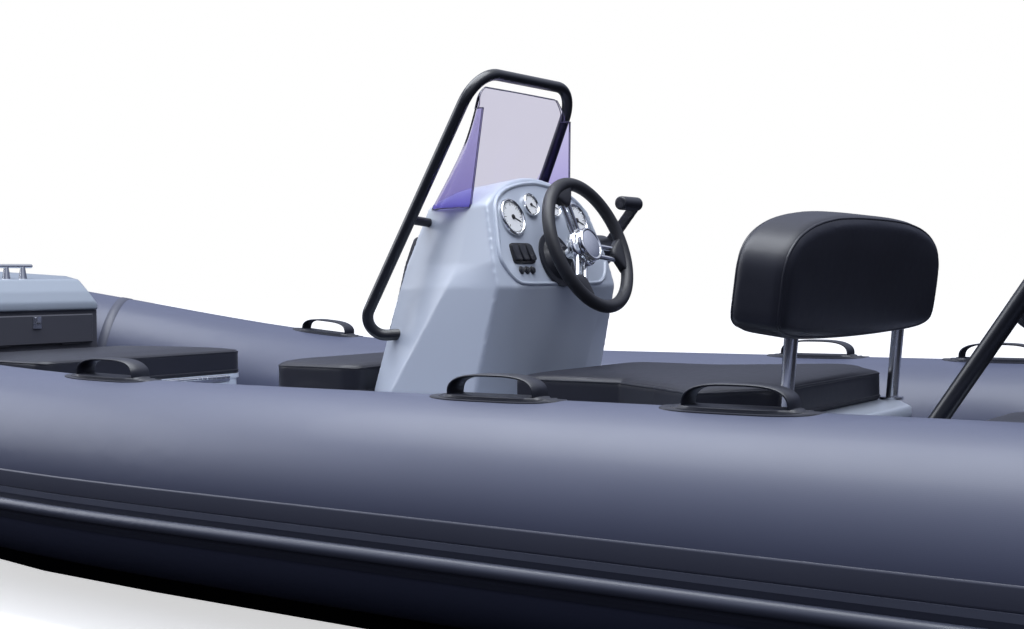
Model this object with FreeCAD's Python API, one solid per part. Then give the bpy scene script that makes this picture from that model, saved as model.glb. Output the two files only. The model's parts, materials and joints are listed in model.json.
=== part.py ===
import FreeCAD, Part
import math
import os

# Rigid inflatable boat, about 4.6 m long and 2.0 m wide, with a centre console.
# Millimetres. +X is forward, +Y is port, +Z is up.
# The origin is on the centreline, in the plane of the light waterline, at the aft face of the transom.

V = FreeCAD.Vector

# Collar: one inflated tube round the boat, straight along the sides and swept up at the bow
tube_radius = 217.5
tube_offset = 775.0          # tube centre from the centreline along the sides
tube_height = 315.0          # tube centre above the waterline along the sides
straight_end = 2600.0        # where the collar starts to curve inwards
nose_centre = 4000.0         # tube centre at the stem
plan_power = 2.3             # how late the plan curve turns in
sheer_start = 1650.0         # where the collar starts to rise
sheer_rise = 253.0           # rise of the tube centre at the stem
sheer_power = 2.8
side_stations = 5            # sections where the straight side starts to rise
turn_stations = 6            # sections from the straight side to the bow panel
bow_stations = 5             # sections from the bow panel's joint to the stem
bow_joint_turn = 48.0        # degrees round the plan curve to the joint of the bow panel
turn_step = 0.5              # degrees either side of a station, to find the curve's heading there
cone_length = 330.0          # tapered end aft of the transom
cone_shoulder = 60.0
cone_end_radius = 95.0
cone_middle_share = 0.55     # of the cone's length, where its outline bulges most
cone_bulge = 14.0
cone_end_slope = 0.75        # how steeply the cone's outline ends
cap_round_share = 0.8        # of its length, how far the cap's rim is rounded
cap_length = 36.0
fit = 0.3                    # clearance where one piece seats on another
over = 20.0                  # overrun of every cut

# Hull: moulded vee bottom with spray rails, solid below the sole
keel_depth = 240.0           # keel below the waterline
keel_flat = 30.0             # half width of the keel's flat
deadrise = 22.0              # degrees at the transom
chine_offset = 560.0
chine_flat = 42.0
chine_taper_start = 2000.0
chine_taper_power = 3.2
chine_rise = 320.0
chine_rise_start = 2000.0
chine_rise_power = 4.2
forefoot_start = 2400.0      # where the keel starts to rise to the stem
stem_length = 20.0           # how far the stem runs ahead of the collar's centre line
rocker_rise = 65.0           # gentle rise of the keel over the forward half
forefoot_power = 13.0        # how tightly the keel then turns up into the stem
hull_end_share = 0.998
rail_places_share = (0.36, 0.68)
rail_width = 34.0
shoulder_in_share = 0.37     # hull shoulder and coaming, as shares of the tube's radius
shoulder_drop_share = 0.93
coaming_in_share = 0.80
coaming_drop_share = 0.60
coaming_least_share = 0.6    # at the stem the coaming stays at least this share of the chine's width apart
coaming_thickness = 15.0
well_stations = 14
hull_station_shares = (0.0, 0.28, 0.55, 0.66, 0.74, 0.81, 0.87, 0.915, 0.95, 0.98, 1.0)

# Sole, transom and bulkhead
sole_top = 90.0
sole_thickness = 8.0
transom_thickness = 45.0
transom_top = 285.0
motor_cut_half = 300.0
transom_wing_top = 340.0
transom_wing_run = 90.0      # how far out the slope from the motor's cut to the wings runs
transom_bolt_half = 163.5    # half the spacing of the motor's upper bolts
transom_bolt_drop = 60.0
transom_bolt_radius = 6.5
bulkhead_x = 3465.0
bulkhead_thickness = 18.0
well_end = bulkhead_x + bulkhead_thickness * 2

# Rubbing strake on the collar's outer side
strake_drop = 53.0           # strake's middle below the tube's middle
strake_weld = 0.05           # closes the joints between its lengths
strake_half = 37.0
strake_lip = 7.0
strake_rib = 16.0
strake_tail = 40.0
strake_edge_share = 0.6      # its lips' height at their outer edges
strake_root_share = 0.7      # and where the rib stands on them


def rotated(shape, point, axis, angle):
    turned = shape.copy()
    turned.rotate(point, axis, angle)
    return turned


def largest(shape):
    return max(shape.Solids, key=lambda solid: solid.Volume)


def moved(shape, offset):
    placed = shape.copy()
    placed.translate(offset)
    return placed


def mirrored(shape):
    return shape.mirror(V(0, 0, 0), V(0, 1, 0))


def box(x_low, x_high, y_low, y_high, z_low, z_high):
    return Part.makeBox(x_high - x_low, y_high - y_low, z_high - z_low, V(x_low, y_low, z_low))


def polygon(points):
    return Part.makePolygon(list(points) + [points[0]])


def prism(points, direction):
    return Part.Face(polygon(points)).extrude(direction)


def loft(wires, ruled=False):
    return Part.makeLoft(wires, True, ruled)


def side_profile(points, half_width):
    """A solid with this outline in X and Z, symmetric about the centreline."""
    return prism([V(x, -half_width, z) for x, z in points], V(0, 2 * half_width, 0))


def bent_tube(points, bends, radius):
    """A round tube through the points, each corner an arc of its own bend radius."""
    edges = []
    start = points[0]
    for bend, before, corner, after in zip(bends, points, points[1:], points[2:]):
        to_before = (before - corner).normalize()
        to_after = (after - corner).normalize()
        half = to_before.getAngle(to_after) / 2
        reach = bend / math.tan(half)
        middle = (to_before + to_after).normalize() * (bend / math.sin(half) - bend)
        first = corner + to_before * reach
        last = corner + to_after * reach
        edges.append(Part.LineSegment(start, first).toShape())
        edges.append(Part.Arc(first, corner + middle, last).toShape())
        start = last
    edges.append(Part.LineSegment(start, points[-1]).toShape())
    path = Part.Wire(edges)
    ring = Part.Wire([Part.makeCircle(radius, points[0], points[1] - points[0])])
    return path.makePipeShell([ring], True, True)


def sheer(x):
    run = max(0.0, x - sheer_start) / (nose_centre - sheer_start)
    return sheer_rise * run ** sheer_power


def tube_y(x):
    run = min(1.0, max(0.0, x - straight_end) / (nose_centre - straight_end))
    return tube_offset * math.sqrt(1.0 - run ** plan_power)


def tube_z(x):
    return tube_height + sheer(x)


def turn_point(turn):
    """Centre of the port tube at this many degrees round the plan curve."""
    angle = math.radians(turn)
    x = straight_end + (nose_centre - straight_end) * math.sin(angle) ** (2.0 / plan_power)
    return V(x, tube_offset * math.cos(angle), tube_z(x))


def section_matrix(point, tangent):
    along = V(tangent).normalize()
    out = V(0, 0, 1).cross(along).normalize()
    up = along.cross(out)
    return FreeCAD.Matrix(
        out.x, up.x, along.x, point.x,
        out.y, up.y, along.y, point.y,
        out.z, up.z, along.z, point.z,
        0, 0, 0, 1)


def turn_matrix(turn):
    step = turn_step
    before = turn_point(turn - step) if turn >= step else turn_point(0) - V(1, 0, 0)
    if turn + step <= 90:
        after = turn_point(turn + step)
    else:
        beyond = turn_point(180 - turn - step)
        after = V(beyond.x, -beyond.y, beyond.z)
    return section_matrix(turn_point(turn), after - before)


def side_matrix(x):
    here = V(x, tube_y(x), tube_z(x))
    return section_matrix(here, V(1, 0, tube_z(x + 1) - tube_z(x)))


def side_matrices():
    """Stations from the start of the sheer to the bow panel's joint."""
    step = (straight_end - sheer_start) / side_stations
    straight = [side_matrix(sheer_start + step * i) for i in range(side_stations)]
    return straight + [turn_matrix(bow_joint_turn * i / turn_stations) for i in range(turn_stations + 1)]


def bow_matrices():
    step = (90.0 - bow_joint_turn) / bow_stations
    port = [turn_matrix(bow_joint_turn + step * i) for i in range(bow_stations + 1)]
    starboard = []
    for i in range(bow_stations - 1, -1, -1):
        turn = bow_joint_turn + step * i
        centre = turn_point(turn)
        tangent = turn_matrix(turn).multVec(V(0, 0, 1)) - centre
        starboard.append(section_matrix(V(centre.x, -centre.y, centre.z), V(-tangent.x, tangent.y, -tangent.z)))
    return port + starboard


def run_of(profile, matrices):
    """A solid with this profile at every station; the profile's X is outwards and its Y is up."""
    wires = []
    for matrix in matrices:
        wire = profile.copy()
        wire.Placement = FreeCAD.Placement(matrix)
        wires.append(wire)
    return loft(wires)


def straight_run(profile, start):
    """The same profile drawn along the level part of the side."""
    wire = profile.copy()
    wire.Placement = FreeCAD.Placement(side_matrix(start))
    return Part.Face(wire).extrude(V(sheer_start - start, 0, 0))


def ring(radius):
    return Part.Wire([Part.Circle(V(0, 0, 0), V(0, 0, 1), radius).toShape()])


def collar_side(radius):
    tube = run_of(ring(radius), side_matrices()).fuse(straight_run(ring(radius), 0.0))
    grow = radius - tube_radius
    shoulder = V(-cone_shoulder, 0, radius)
    middle = V(-cone_length * cone_middle_share, 0, (tube_radius + cone_end_radius) / 2 + grow + cone_bulge)
    end = V(-cone_length, 0, cone_end_radius + grow)
    curve = Part.BSplineCurve()
    curve.interpolate([shoulder, middle, end], InitialTangent=V(-1, 0, 0), FinalTangent=V(-1, 0, -cone_end_slope))
    outline = Part.Wire([
        Part.LineSegment(V(0, 0, 0), V(0, 0, radius)).toShape(),
        Part.LineSegment(V(0, 0, radius), shoulder).toShape(),
        curve.toShape(),
        Part.LineSegment(end, V(end.x, 0, 0)).toShape(),
        Part.LineSegment(V(end.x, 0, 0), V(0, 0, 0)).toShape()])
    cone = Part.Face(outline).revolve(V(0, 0, 0), V(1, 0, 0), 360)
    cone.translate(V(0, tube_offset, tube_height))
    return tube.fuse(cone).removeSplitter()


def collar_bow(radius):
    return run_of(ring(radius), bow_matrices())


def cone_cap():
    cap = Part.makeCylinder(cone_end_radius, cap_length, V(-cone_length, tube_offset, tube_height), V(-1, 0, 0))
    rim = [e for e in cap.Edges
           if abs(e.BoundBox.XMax + cone_length + cap_length) < fit and e.BoundBox.YLength > over]
    return cap.makeFillet(cap_length * cap_round_share, rim)


def strake_profile():
    """Moulded rubber: two rounded lips with a half-round rib between them, its back on the tube."""
    def on_tube(height, stand):
        reach = tube_radius + fit + stand
        return V(math.sqrt(reach ** 2 - height ** 2), height, 0)
    middle = -strake_drop
    top = middle + strake_half
    low = middle - strake_half
    back = [on_tube(top, 0), on_tube(middle, 0), on_tube(low, 0)]
    third = strake_half / 3
    edges = [Part.Arc(back[0], back[1], back[2]).toShape()]
    points = [back[2], on_tube(low, strake_lip * strake_edge_share), on_tube(low + third, strake_lip),
              on_tube(middle - third, strake_lip * strake_root_share)]
    for first, second in zip(points, points[1:]):
        edges.append(Part.LineSegment(first, second).toShape())
    upper = on_tube(middle + third, strake_lip * strake_root_share)
    edges.append(Part.Arc(points[-1], on_tube(middle, strake_lip + strake_rib), upper).toShape())
    points = [upper, on_tube(top - third, strake_lip), on_tube(top, strake_lip * strake_edge_share), back[0]]
    for first, second in zip(points, points[1:]):
        edges.append(Part.LineSegment(first, second).toShape())
    return Part.Wire(edges)


def rubbing_strake():
    port = run_of(strake_profile(), side_matrices()).fuse(straight_run(strake_profile(), -strake_tail))
    bow = run_of(strake_profile(), bow_matrices())
    whole = port.fuse([bow, mirrored(port)], strake_weld).removeSplitter()
    return whole


def keel_z(x):
    run = hull_share(x, forefoot_start, nose_centre + stem_length)
    stem = tube_z(nose_centre) - tube_radius + keel_depth - rocker_rise
    return -keel_depth + rocker_rise * run ** 2 + stem * run ** forefoot_power


def hull_share(x, start, end):
    return min(1.0, max(0.0, x - start) / (end - start))


def chine_y(x):
    end = nose_centre + stem_length
    return chine_offset * (1.0 - hull_share(x, chine_taper_start, end) ** chine_taper_power)


def chine_z(x):
    start = -keel_depth + chine_offset * math.tan(math.radians(deadrise))
    return start + chine_rise * hull_share(x, chine_rise_start, nose_centre) ** chine_rise_power


def hull_section(x):
    fine = chine_y(x) / chine_offset
    bottom = keel_z(x)
    edge = V(x, chine_y(x), max(chine_z(x), bottom + keel_flat))
    keel = V(x, keel_flat * fine, bottom)
    points = [keel]
    for share in rail_places_share:
        corner = keel + (edge - keel) * share
        width = rail_width * fine
        inner = keel + (edge - keel) * (share - width / max(edge.y - keel.y, width * 4))
        points.append(inner)
        points.append(V(x, corner.y, inner.z))
        points.append(corner)
    points.append(edge)
    points.append(V(x, edge.y + chine_flat * fine, edge.z))
    y = tube_y(x)
    z = tube_z(x)
    points.append(V(x, max(y - tube_radius * shoulder_in_share, edge.y + chine_flat * fine),
                    z - tube_radius * shoulder_drop_share))
    inner_y = max(y - tube_radius * coaming_in_share, edge.y * coaming_least_share)
    points.append(V(x, inner_y, z - tube_radius * coaming_drop_share))
    other = [V(p.x, -p.y, p.z) for p in reversed(points)]
    return polygon(points + other)


def cockpit_half(x):
    """Half width inside the coaming, and inside the hull's own side where that is narrower."""
    coaming = tube_y(x) - tube_radius * coaming_in_share
    floor = sole_top - sole_thickness
    side = chine_y(x) + chine_flat * chine_y(x) / chine_offset
    if chine_z(x) > floor:
        side = chine_y(x) * (floor - keel_z(x)) / (chine_z(x) - keel_z(x))
    return min(coaming, side) - coaming_thickness


def cockpit_outline(inset, x_low, x_high):
    """Plan of the cockpit well, as port and starboard curves joined by straight ends."""
    port = []
    for i in range(well_stations + 1):
        x = x_low + (x_high - x_low) * i / well_stations
        port.append(V(x, cockpit_half(x) - inset, 0))
    starboard = [V(p.x, -p.y, 0) for p in reversed(port)]
    curves = []
    for points in (port, starboard):
        curve = Part.BSplineCurve()
        curve.interpolate(points)
        curves.append(curve.toShape())
    return Part.Wire([
        curves[0],
        Part.LineSegment(port[-1], starboard[0]).toShape(),
        curves[1],
        Part.LineSegment(starboard[-1], port[0]).toShape()])


def cockpit_prism(inset, x_low, x_high, z_low, z_high):
    plan = Part.Face(cockpit_outline(inset, x_low, x_high))
    return moved(plan, V(0, 0, z_low)).extrude(V(0, 0, z_high - z_low))


def collar_space():
    """What the collar takes up, with the clearance that its seats have."""
    side = collar_side(tube_radius + fit)
    return [side, collar_bow(tube_radius + fit), mirrored(side)]


def hull(space):
    length = nose_centre * hull_end_share
    body = loft([hull_section(length * share) for share in hull_station_shares], True)
    well = cockpit_prism(0, transom_thickness, well_end, sole_top - sole_thickness,
                         tube_z(nose_centre) + tube_radius)
    aft = box(-over, transom_thickness, -tube_offset, tube_offset, sole_top - sole_thickness, tube_height * 2)
    body = body.cut(well).cut(aft)
    body = body.cut(space)
    return largest(body)


def sole():
    plate = cockpit_prism(fit, transom_thickness, well_end, sole_top - sole_thickness, sole_top)
    return plate.common(box(transom_thickness + fit, bulkhead_x - fit, -tube_offset, tube_offset, 0, tube_height))


def transom(space):
    half = tube_offset - tube_radius * coaming_in_share
    wing = motor_cut_half + transom_wing_run
    outline = [
        (-half, sole_top - sole_thickness), (half, sole_top - sole_thickness), (half, transom_wing_top),
        (wing, transom_wing_top), (motor_cut_half, transom_top), (-motor_cut_half, transom_top),
        (-wing, transom_wing_top), (-half, transom_wing_top)]
    board = prism([V(0, y, z) for y, z in outline], V(transom_thickness, 0, 0))
    board = board.cut(space)
    board = largest(board)
    for side in (1, -1):
        centre = V(-over, side * transom_bolt_half, transom_top - transom_bolt_drop)
        board = board.cut(Part.makeCylinder(transom_bolt_radius, transom_thickness + 2 * over, centre, V(1, 0, 0)))
    return board


# Bow step: moulded cover over the bow, on the collar and the bulkhead
step_lip_z = 664.0
step_lip_height = 26.0
step_overhang = 12.0         # its aft lip stands this far aft of the bulkhead
step_aft = bulkhead_x - step_overhang
step_top_aft = 768.0
step_top_front = 806.0
step_lip_half = 258.0
step_wide_half = 345.0       # further forward, where it lies on the tubes
step_wide_x = 3700.0
step_slope = 55.0            # how far the aft face leans forward
step_face_shares = (0.35, 0.985, 2.4)     # of slope, half width and lip height, just above the lip
step_face_top_share = 0.94   # of its half width, at the top of the aft face
step_narrow_x = nose_centre - 40.0
step_narrow_share = 0.62     # of its wide half, there
step_crown_drop = 4.0
step_front = 4110.0
step_front_half = 105.0
step_front_low_share = 0.7   # of the tube's radius, its front's lower edge above the tube's middle
step_edge = 26.0             # bevel along its sides
step_edge_share = 0.45       # of its height, the most that the bevel takes


def bow_step(space):
    slope_share, half_share, lip_share = step_face_shares
    middle_top = (step_top_aft * 2 + step_top_front) / 3
    front_low = tube_z(nose_centre) + tube_radius * step_front_low_share
    rows = [
        (step_aft, step_lip_half, step_lip_z, step_lip_z + step_lip_height),
        (step_aft + step_slope * slope_share, step_lip_half * half_share, step_lip_z,
         step_lip_z + step_lip_height * lip_share),
        (step_aft + step_slope, step_lip_half * step_face_top_share, step_lip_z, step_top_aft),
        (step_wide_x, step_wide_half, step_lip_z, middle_top),
        (step_narrow_x, step_wide_half * step_narrow_share, tube_z(nose_centre), step_top_front - step_crown_drop),
        (step_front, step_front_half, front_low, step_top_front)]
    wires = []
    for x, half, low, high in rows:
        edge = min(step_edge, (high - low) * step_edge_share)
        wires.append(polygon([
            V(x, half, low), V(x, half, high - edge), V(x, half - edge, high),
            V(x, edge - half, high), V(x, -half, high - edge), V(x, -half, low)]))
    return largest(loft(wires, True).cut(space))


def step_surface(x):
    aft = step_aft + step_slope
    share = (x - aft) / (step_front - aft)
    return step_top_aft + (step_top_front - step_top_aft) * share


# Mooring cleat on the step
cleat_x = 3560.0
cleat_length = 140.0
cleat_foot_gap = 64.0
cleat_height = 34.0
cleat_bar_radius = 7.0
cleat_foot_radius = 9.0
cleat_foot_flare = 1.7       # its feet's radius at the foot, and under the bar, against that
cleat_foot_neck = 0.8
cleat_base_rise = 8.0        # its base above the step's plain slope
cleat_root = 22.0            # how far its feet run on down into the step


def bow_cleat():
    base_z = step_surface(cleat_x) + cleat_base_rise
    bar_z = base_z + cleat_height
    low = base_z - cleat_root
    end = cleat_length / 2 - cleat_bar_radius
    bar = Part.makeCylinder(cleat_bar_radius, end * 2, V(cleat_x, -end, bar_z), V(0, 1, 0))
    parts = []
    for side in (1, -1):
        parts.append(Part.makeSphere(cleat_bar_radius, V(cleat_x, side * end, bar_z)))
        foot = Part.makeCone(cleat_foot_radius * cleat_foot_flare, cleat_foot_radius * cleat_foot_neck, bar_z - low,
                             V(cleat_x, side * cleat_foot_gap / 2, low), V(0, 0, 1))
        parts.append(foot)
    return bar.fuse(parts)


# Bulkhead under the step, with a drop-down door
door_half = 230.0
door_low = 548.0
door_high = 650.0
door_thickness = 16.0
door_hinge_radius = 4.0
door_bevel = 4.0
door_knuckle_length = 70.0
door_knuckle_share = 0.6     # of its half width, where its knuckles are
mouth_border = 20.0          # how far the door covers the opening's edge
mouth_rise = 14.0            # the opening's lower edge above the door's, and its upper edge below it
mouth_drop = 10.0
pod_flare_x = 3700.0         # the bulkhead's side walls run forward and outward to here
pod_flare_half = 342.0


def bow_bulkhead(space, body):
    """Aft wall and flared side walls of the bow pod, on the sole and the hull's coaming."""
    inner = bulkhead_x + bulkhead_thickness
    half = step_lip_half - 2 * fit
    plan = [V(bulkhead_x, -half, 0), V(bulkhead_x, half, 0), V(pod_flare_x, pod_flare_half, 0),
            V(pod_flare_x, pod_flare_half - bulkhead_thickness, 0), V(inner, half - bulkhead_thickness, 0),
            V(inner, bulkhead_thickness - half, 0), V(pod_flare_x, bulkhead_thickness - pod_flare_half, 0),
            V(pod_flare_x, -pod_flare_half, 0)]
    floor = sole_top - sole_thickness
    wall = moved(prism(plan, V(0, 0, step_lip_z - fit - floor)), V(0, 0, floor))
    mouth = box(bulkhead_x - over, inner + over, mouth_border - door_half, door_half - mouth_border,
                door_low + mouth_rise, door_high - mouth_drop)
    coaming = tube_z(bulkhead_x) - tube_radius * coaming_drop_share
    well = cockpit_prism(fit, transom_thickness, well_end, floor, coaming)
    above = box(bulkhead_x - over, pod_flare_x + over, -tube_offset, tube_offset, coaming, tube_height * 3)
    wall = wall.common(well.fuse(above)).cut(space + [mouth, body])
    return largest(wall)


door_hinge_x = bulkhead_x - fit - door_thickness / 2
door_hinge_z = door_low + door_hinge_radius


def locker_door():
    face = bulkhead_x - fit
    door = box(face - door_thickness, face, -door_half, door_half, door_low + door_hinge_radius, door_high)
    edges = [e for e in door.Edges if abs(e.CenterOfMass.x - (face - door_thickness)) < fit]
    door = door.makeChamfer(door_bevel, edges)
    return door.fuse(knuckles(door_hinge_x, door_hinge_z, door_hinge_radius, door_knuckle_length,
                              door_half * door_knuckle_share))


def knuckles(x, z, radius, length, offset):
    """The moving leaf's two hinge knuckles, at this distance either side of the centreline."""
    return [Part.makeCylinder(radius, length, V(x, side * offset - length / 2, z), V(0, 1, 0)) for side in (1, -1)]


latch_half = 16.0
latch_plate_thickness = 5.0
latch_low_drop = 44.0        # its plate's lower and upper edges below the door's upper edge
latch_high_drop = 6.0
latch_lever_half = 7.0
latch_lever_outline = ((0.0, 30.0), (9.0, 24.0), (11.0, 4.0), (0.0, 10.0))    # stand, and drop below the door's edge


def door_latch():
    face = bulkhead_x - fit - door_thickness
    front = face - latch_plate_thickness
    plate = box(front, face, -latch_half, latch_half, door_high - latch_low_drop, door_high - latch_high_drop)
    corners = [V(front - stand, -latch_lever_half, door_high - drop) for stand, drop in latch_lever_outline]
    return plate.fuse(prism(corners, V(0, latch_lever_half * 2, 0)))


# Bow locker: moulded box on the sole, lid hinged along its aft edge, cushion on the lid
locker_aft = 2893.0
locker_front = 3440.0
locker_half_aft = 388.0
locker_half_front = 284.0
locker_lid_half_front = 332.0
locker_wall = 14.0
locker_top = 440.0
locker_corner = 40.0
locker_rail_stand = 6.0      # the hinge rail on its aft face
locker_rail_drops = (26.0, 12.0)
locker_rail_share = 0.8      # of its half width
locker_knuckle_share = 0.5
locker_knuckle_length = 60.0
locker_hinge_in = 4.0        # the hinge pin aft of the box, and above its rim
locker_hinge_rise = 6.0
lid_thickness = 14.0
lid_rest = 0.3
lid_lip = 2.0                # how far the lid overhangs its box fore and aft
lid_side_lip = 8.0
lid_corner = 44.0
hinge_knuckle_radius = 5.0
cushion_height = 78.0
cushion_corner = 46.0
cushion_edge = 14.0          # rounding of every cushion's upper edge


def tapered_plate(x_low, x_high, half_low, half_high, z_low, z_high, corner):
    wire = polygon([V(x_low, half_low, z_low), V(x_high, half_high, z_low),
                    V(x_high, -half_high, z_low), V(x_low, -half_low, z_low)])
    solid = Part.Face(wire).extrude(V(0, 0, z_high - z_low))
    upright = [e for e in solid.Edges if abs(e.BoundBox.ZLength - (z_high - z_low)) < fit]
    return solid.makeFillet(corner, upright)


def soft_top(cushion, top):
    edges = [e for e in cushion.Edges if abs(e.BoundBox.ZMin - top) < fit]
    return cushion.makeFillet(cushion_edge, edges)


def bow_locker():
    outer = tapered_plate(locker_aft, locker_front, locker_half_aft, locker_half_front,
                          sole_top, locker_top, locker_corner)
    inner = tapered_plate(locker_aft + locker_wall, locker_front - locker_wall, locker_half_aft - locker_wall,
                          locker_half_front - locker_wall, sole_top + locker_wall, locker_top + over,
                          locker_corner - locker_wall)
    low_drop, high_drop = locker_rail_drops
    rail_half = locker_half_aft * locker_rail_share
    rail = box(locker_aft - locker_rail_stand, locker_aft + fit, -rail_half, rail_half,
               locker_top - low_drop, locker_top - high_drop)
    return outer.cut(inner).fuse(rail)


locker_hinge_x = locker_aft - locker_hinge_in
locker_hinge_z = locker_top + locker_hinge_rise


def bow_lid():
    low = locker_top + lid_rest
    lid = tapered_plate(locker_aft - lid_lip, locker_front + lid_lip, locker_half_aft + lid_side_lip, locker_lid_half_front,
                        low, low + lid_thickness, lid_corner)
    return lid.fuse(knuckles(locker_hinge_x, locker_hinge_z, hinge_knuckle_radius, locker_knuckle_length,
                             locker_half_aft * locker_knuckle_share))


bow_cushion_aft_in = 2.0     # the cushion's edges against the box's, and wider than the lid at the sides
bow_cushion_front_in = 6.0
bow_cushion_side_lip = 4.0


def bow_cushion():
    low = locker_top + lid_rest + lid_thickness + fit
    half_aft = locker_half_aft + lid_side_lip + bow_cushion_side_lip
    half_front = locker_lid_half_front + bow_cushion_side_lip
    cushion = tapered_plate(locker_aft + bow_cushion_aft_in, locker_front - bow_cushion_front_in, half_aft, half_front,
                            low, low + cushion_height, cushion_corner)
    return soft_top(cushion, low + cushion_height)


# Front seat, ahead of the console
seat_aft = 1845.0
seat_front = 2150.0
seat_half = 262.0
seat_taper = 28.0            # how much narrower the box and its lid are at the front
seat_wall = 12.0
seat_top = 452.0
seat_cushion_height = 76.0
seat_box_front_in = 22.0     # the box's front and sides behind the cushion's edge
seat_box_side_in = 6.0
seat_lid_aft_lip = 1.0
seat_lid_front_in = 14.0
seat_lid_side_in = 2.0
seat_cushion_front_in = 4.0
seat_cushion_taper = 12.0
seat_corner = 36.0
seat_lid_corner = 38.0
seat_cushion_corner = 52.0
seat_knuckle_length = 50.0
seat_knuckle_share = 0.45
seat_hinge_back = 16.0       # the hinge pin behind the cushion's front edge, and above the box's rim
seat_hinge_rise = 5.3


def front_seat_box():
    front = seat_front - seat_box_front_in
    half = seat_half - seat_box_side_in
    outer = tapered_plate(seat_aft, front, half, half - seat_taper, sole_top, seat_top, seat_corner)
    inner = tapered_plate(seat_aft + seat_wall, front - seat_wall, half - seat_wall, half - seat_taper - seat_wall,
                          sole_top + seat_wall, seat_top + over, seat_corner - seat_wall)
    return outer.cut(inner)


seat_hinge_x = seat_front - seat_hinge_back
seat_hinge_z = seat_top + seat_hinge_rise


def front_seat_lid():
    low = seat_top + lid_rest
    half = seat_half - seat_lid_side_in
    lid = tapered_plate(seat_aft - seat_lid_aft_lip, seat_front - seat_lid_front_in, half, half - seat_taper,
                        low, low + lid_thickness, seat_lid_corner)
    return lid.fuse(knuckles(seat_hinge_x, seat_hinge_z, hinge_knuckle_radius, seat_knuckle_length,
                             seat_half * seat_knuckle_share))


def front_seat_cushion():
    low = seat_top + lid_rest + lid_thickness + fit
    top = low + seat_cushion_height
    cushion = tapered_plate(seat_aft + seat_lid_aft_lip, seat_front - seat_cushion_front_in, seat_half,
                            seat_half - seat_cushion_taper, low, top, seat_cushion_corner)
    return soft_top(cushion, top)


# Console: a moulding whose front bevel widens as it rises, with a sloping dash and an arched top
console_rows = (
    # height; then distance forward and half width of the aft face's edge, the side's aft edge,
    # the side's forward edge and the front face's edge
    (sole_top, (1505.0, 128.0), (1536.0, 272.0), (1796.0, 272.0), (1828.0, 236.0)),
    (480.0, (1440.0, 150.0), (1464.0, 282.0), (1717.0, 282.0), (1822.0, 216.0)),
    (735.0, (1394.0, 206.0), (1404.0, 268.0), (1557.0, 262.0), (1742.0, 207.0)),
    (792.0, (1413.0, 224.0), (1418.0, 262.0), (1531.0, 246.0), (1722.0, 204.0)),
    (1025.0, (1489.0, 176.0), (1492.0, 204.0), (1506.0, 203.0), (1616.0, 186.0)))
console_crown = 1003.0       # height of the arched top on the centreline, at the dash
console_crown_radius = 374.0
console_crown_fall = 7.0     # degrees the top falls towards the front
console_edge_radius = 9.0
softened_shares = (1.0, 0.5)


def softened(body, radius, wanted):
    """Body with the wanted edges rounded, by half the radius where they can't take all of it."""
    for share in softened_shares:
        edges = [e for e in body.Edges if wanted(e)]
        try:
            rounded = body.makeFillet(radius * share, edges)
        except Part.OCCError:
            continue
        if rounded.isValid():
            return rounded
    return body


def console_row(row):
    points = [V(x, half, row[0]) for x, half in row[1:]]
    return polygon(points + [V(p.x, -p.y, p.z) for p in reversed(points)])


def console_body():
    body = loft([console_row(row) for row in console_rows], True)
    lean = V(1, 0, -math.tan(math.radians(console_crown_fall)))
    middle = V(console_line(console_crown, 0), 0, console_crown - console_crown_radius) - lean * tube_offset / 2
    crown = Part.makeCylinder(console_crown_radius, tube_offset, middle, lean)
    below = box(0, nose_centre, -tube_offset, tube_offset, 0, console_rows[-2][0])
    body = body.common(crown.fuse(below))
    shoulder = console_rows[-2][0] + over * 3
    return softened(body, console_edge_radius, lambda e: e.BoundBox.ZMin > shoulder)


def console_line(z, column):
    """How far forward the console's face is at this height: column 0 is the aft face, 3 the front."""
    for low, high in zip(console_rows, console_rows[1:]):
        if z <= high[0]:
            share = (z - low[0]) / (high[0] - low[0])
            return low[column + 1][0] + (high[column + 1][0] - low[column + 1][0]) * share
    return console_rows[-1][column + 1][0]


# Dash: a flat panel let into the sloping part of the console, flush with it
dash_low_z = 746.0
dash_high_z = 990.0
dash_thickness = 4.0
dash_depth = dash_thickness + fit
dash_low_half = 196.0
dash_wide_half = 236.0       # at its widest, a little above its lower edge
dash_wide_up = 46.0
dash_top_half = 186.0
dash_shoulder_up = 196.0     # where its arched top starts
dash_aft = console_line(dash_low_z, 0)
dash_top = console_line(dash_high_z, 0)
dash_tilt = math.degrees(math.atan2(dash_top - dash_aft, dash_high_z - dash_low_z))
dash_height = (dash_high_z - dash_low_z) / math.cos(math.radians(dash_tilt))


def dash_frame(shape):
    """From the dash's own frame (X across to starboard, Y up the panel, Z out of it) to the boat."""
    tilt = math.radians(dash_tilt)
    up = V(math.sin(tilt), 0, math.cos(tilt))
    out = V(-math.cos(tilt), 0, math.sin(tilt))
    matrix = FreeCAD.Matrix(
        0, up.x, out.x, dash_aft,
        -1, up.y, out.y, 0,
        0, up.z, out.z, dash_low_z,
        0, 0, 0, 1)
    placed = shape.copy()
    placed.Placement = FreeCAD.Placement(matrix).multiply(shape.Placement)
    return placed


def dash_point(across, up_panel, out):
    tilt = math.radians(dash_tilt)
    return V(dash_aft + up_panel * math.sin(tilt) - out * math.cos(tilt), across,
             dash_low_z + up_panel * math.cos(tilt) + out * math.sin(tilt))


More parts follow.
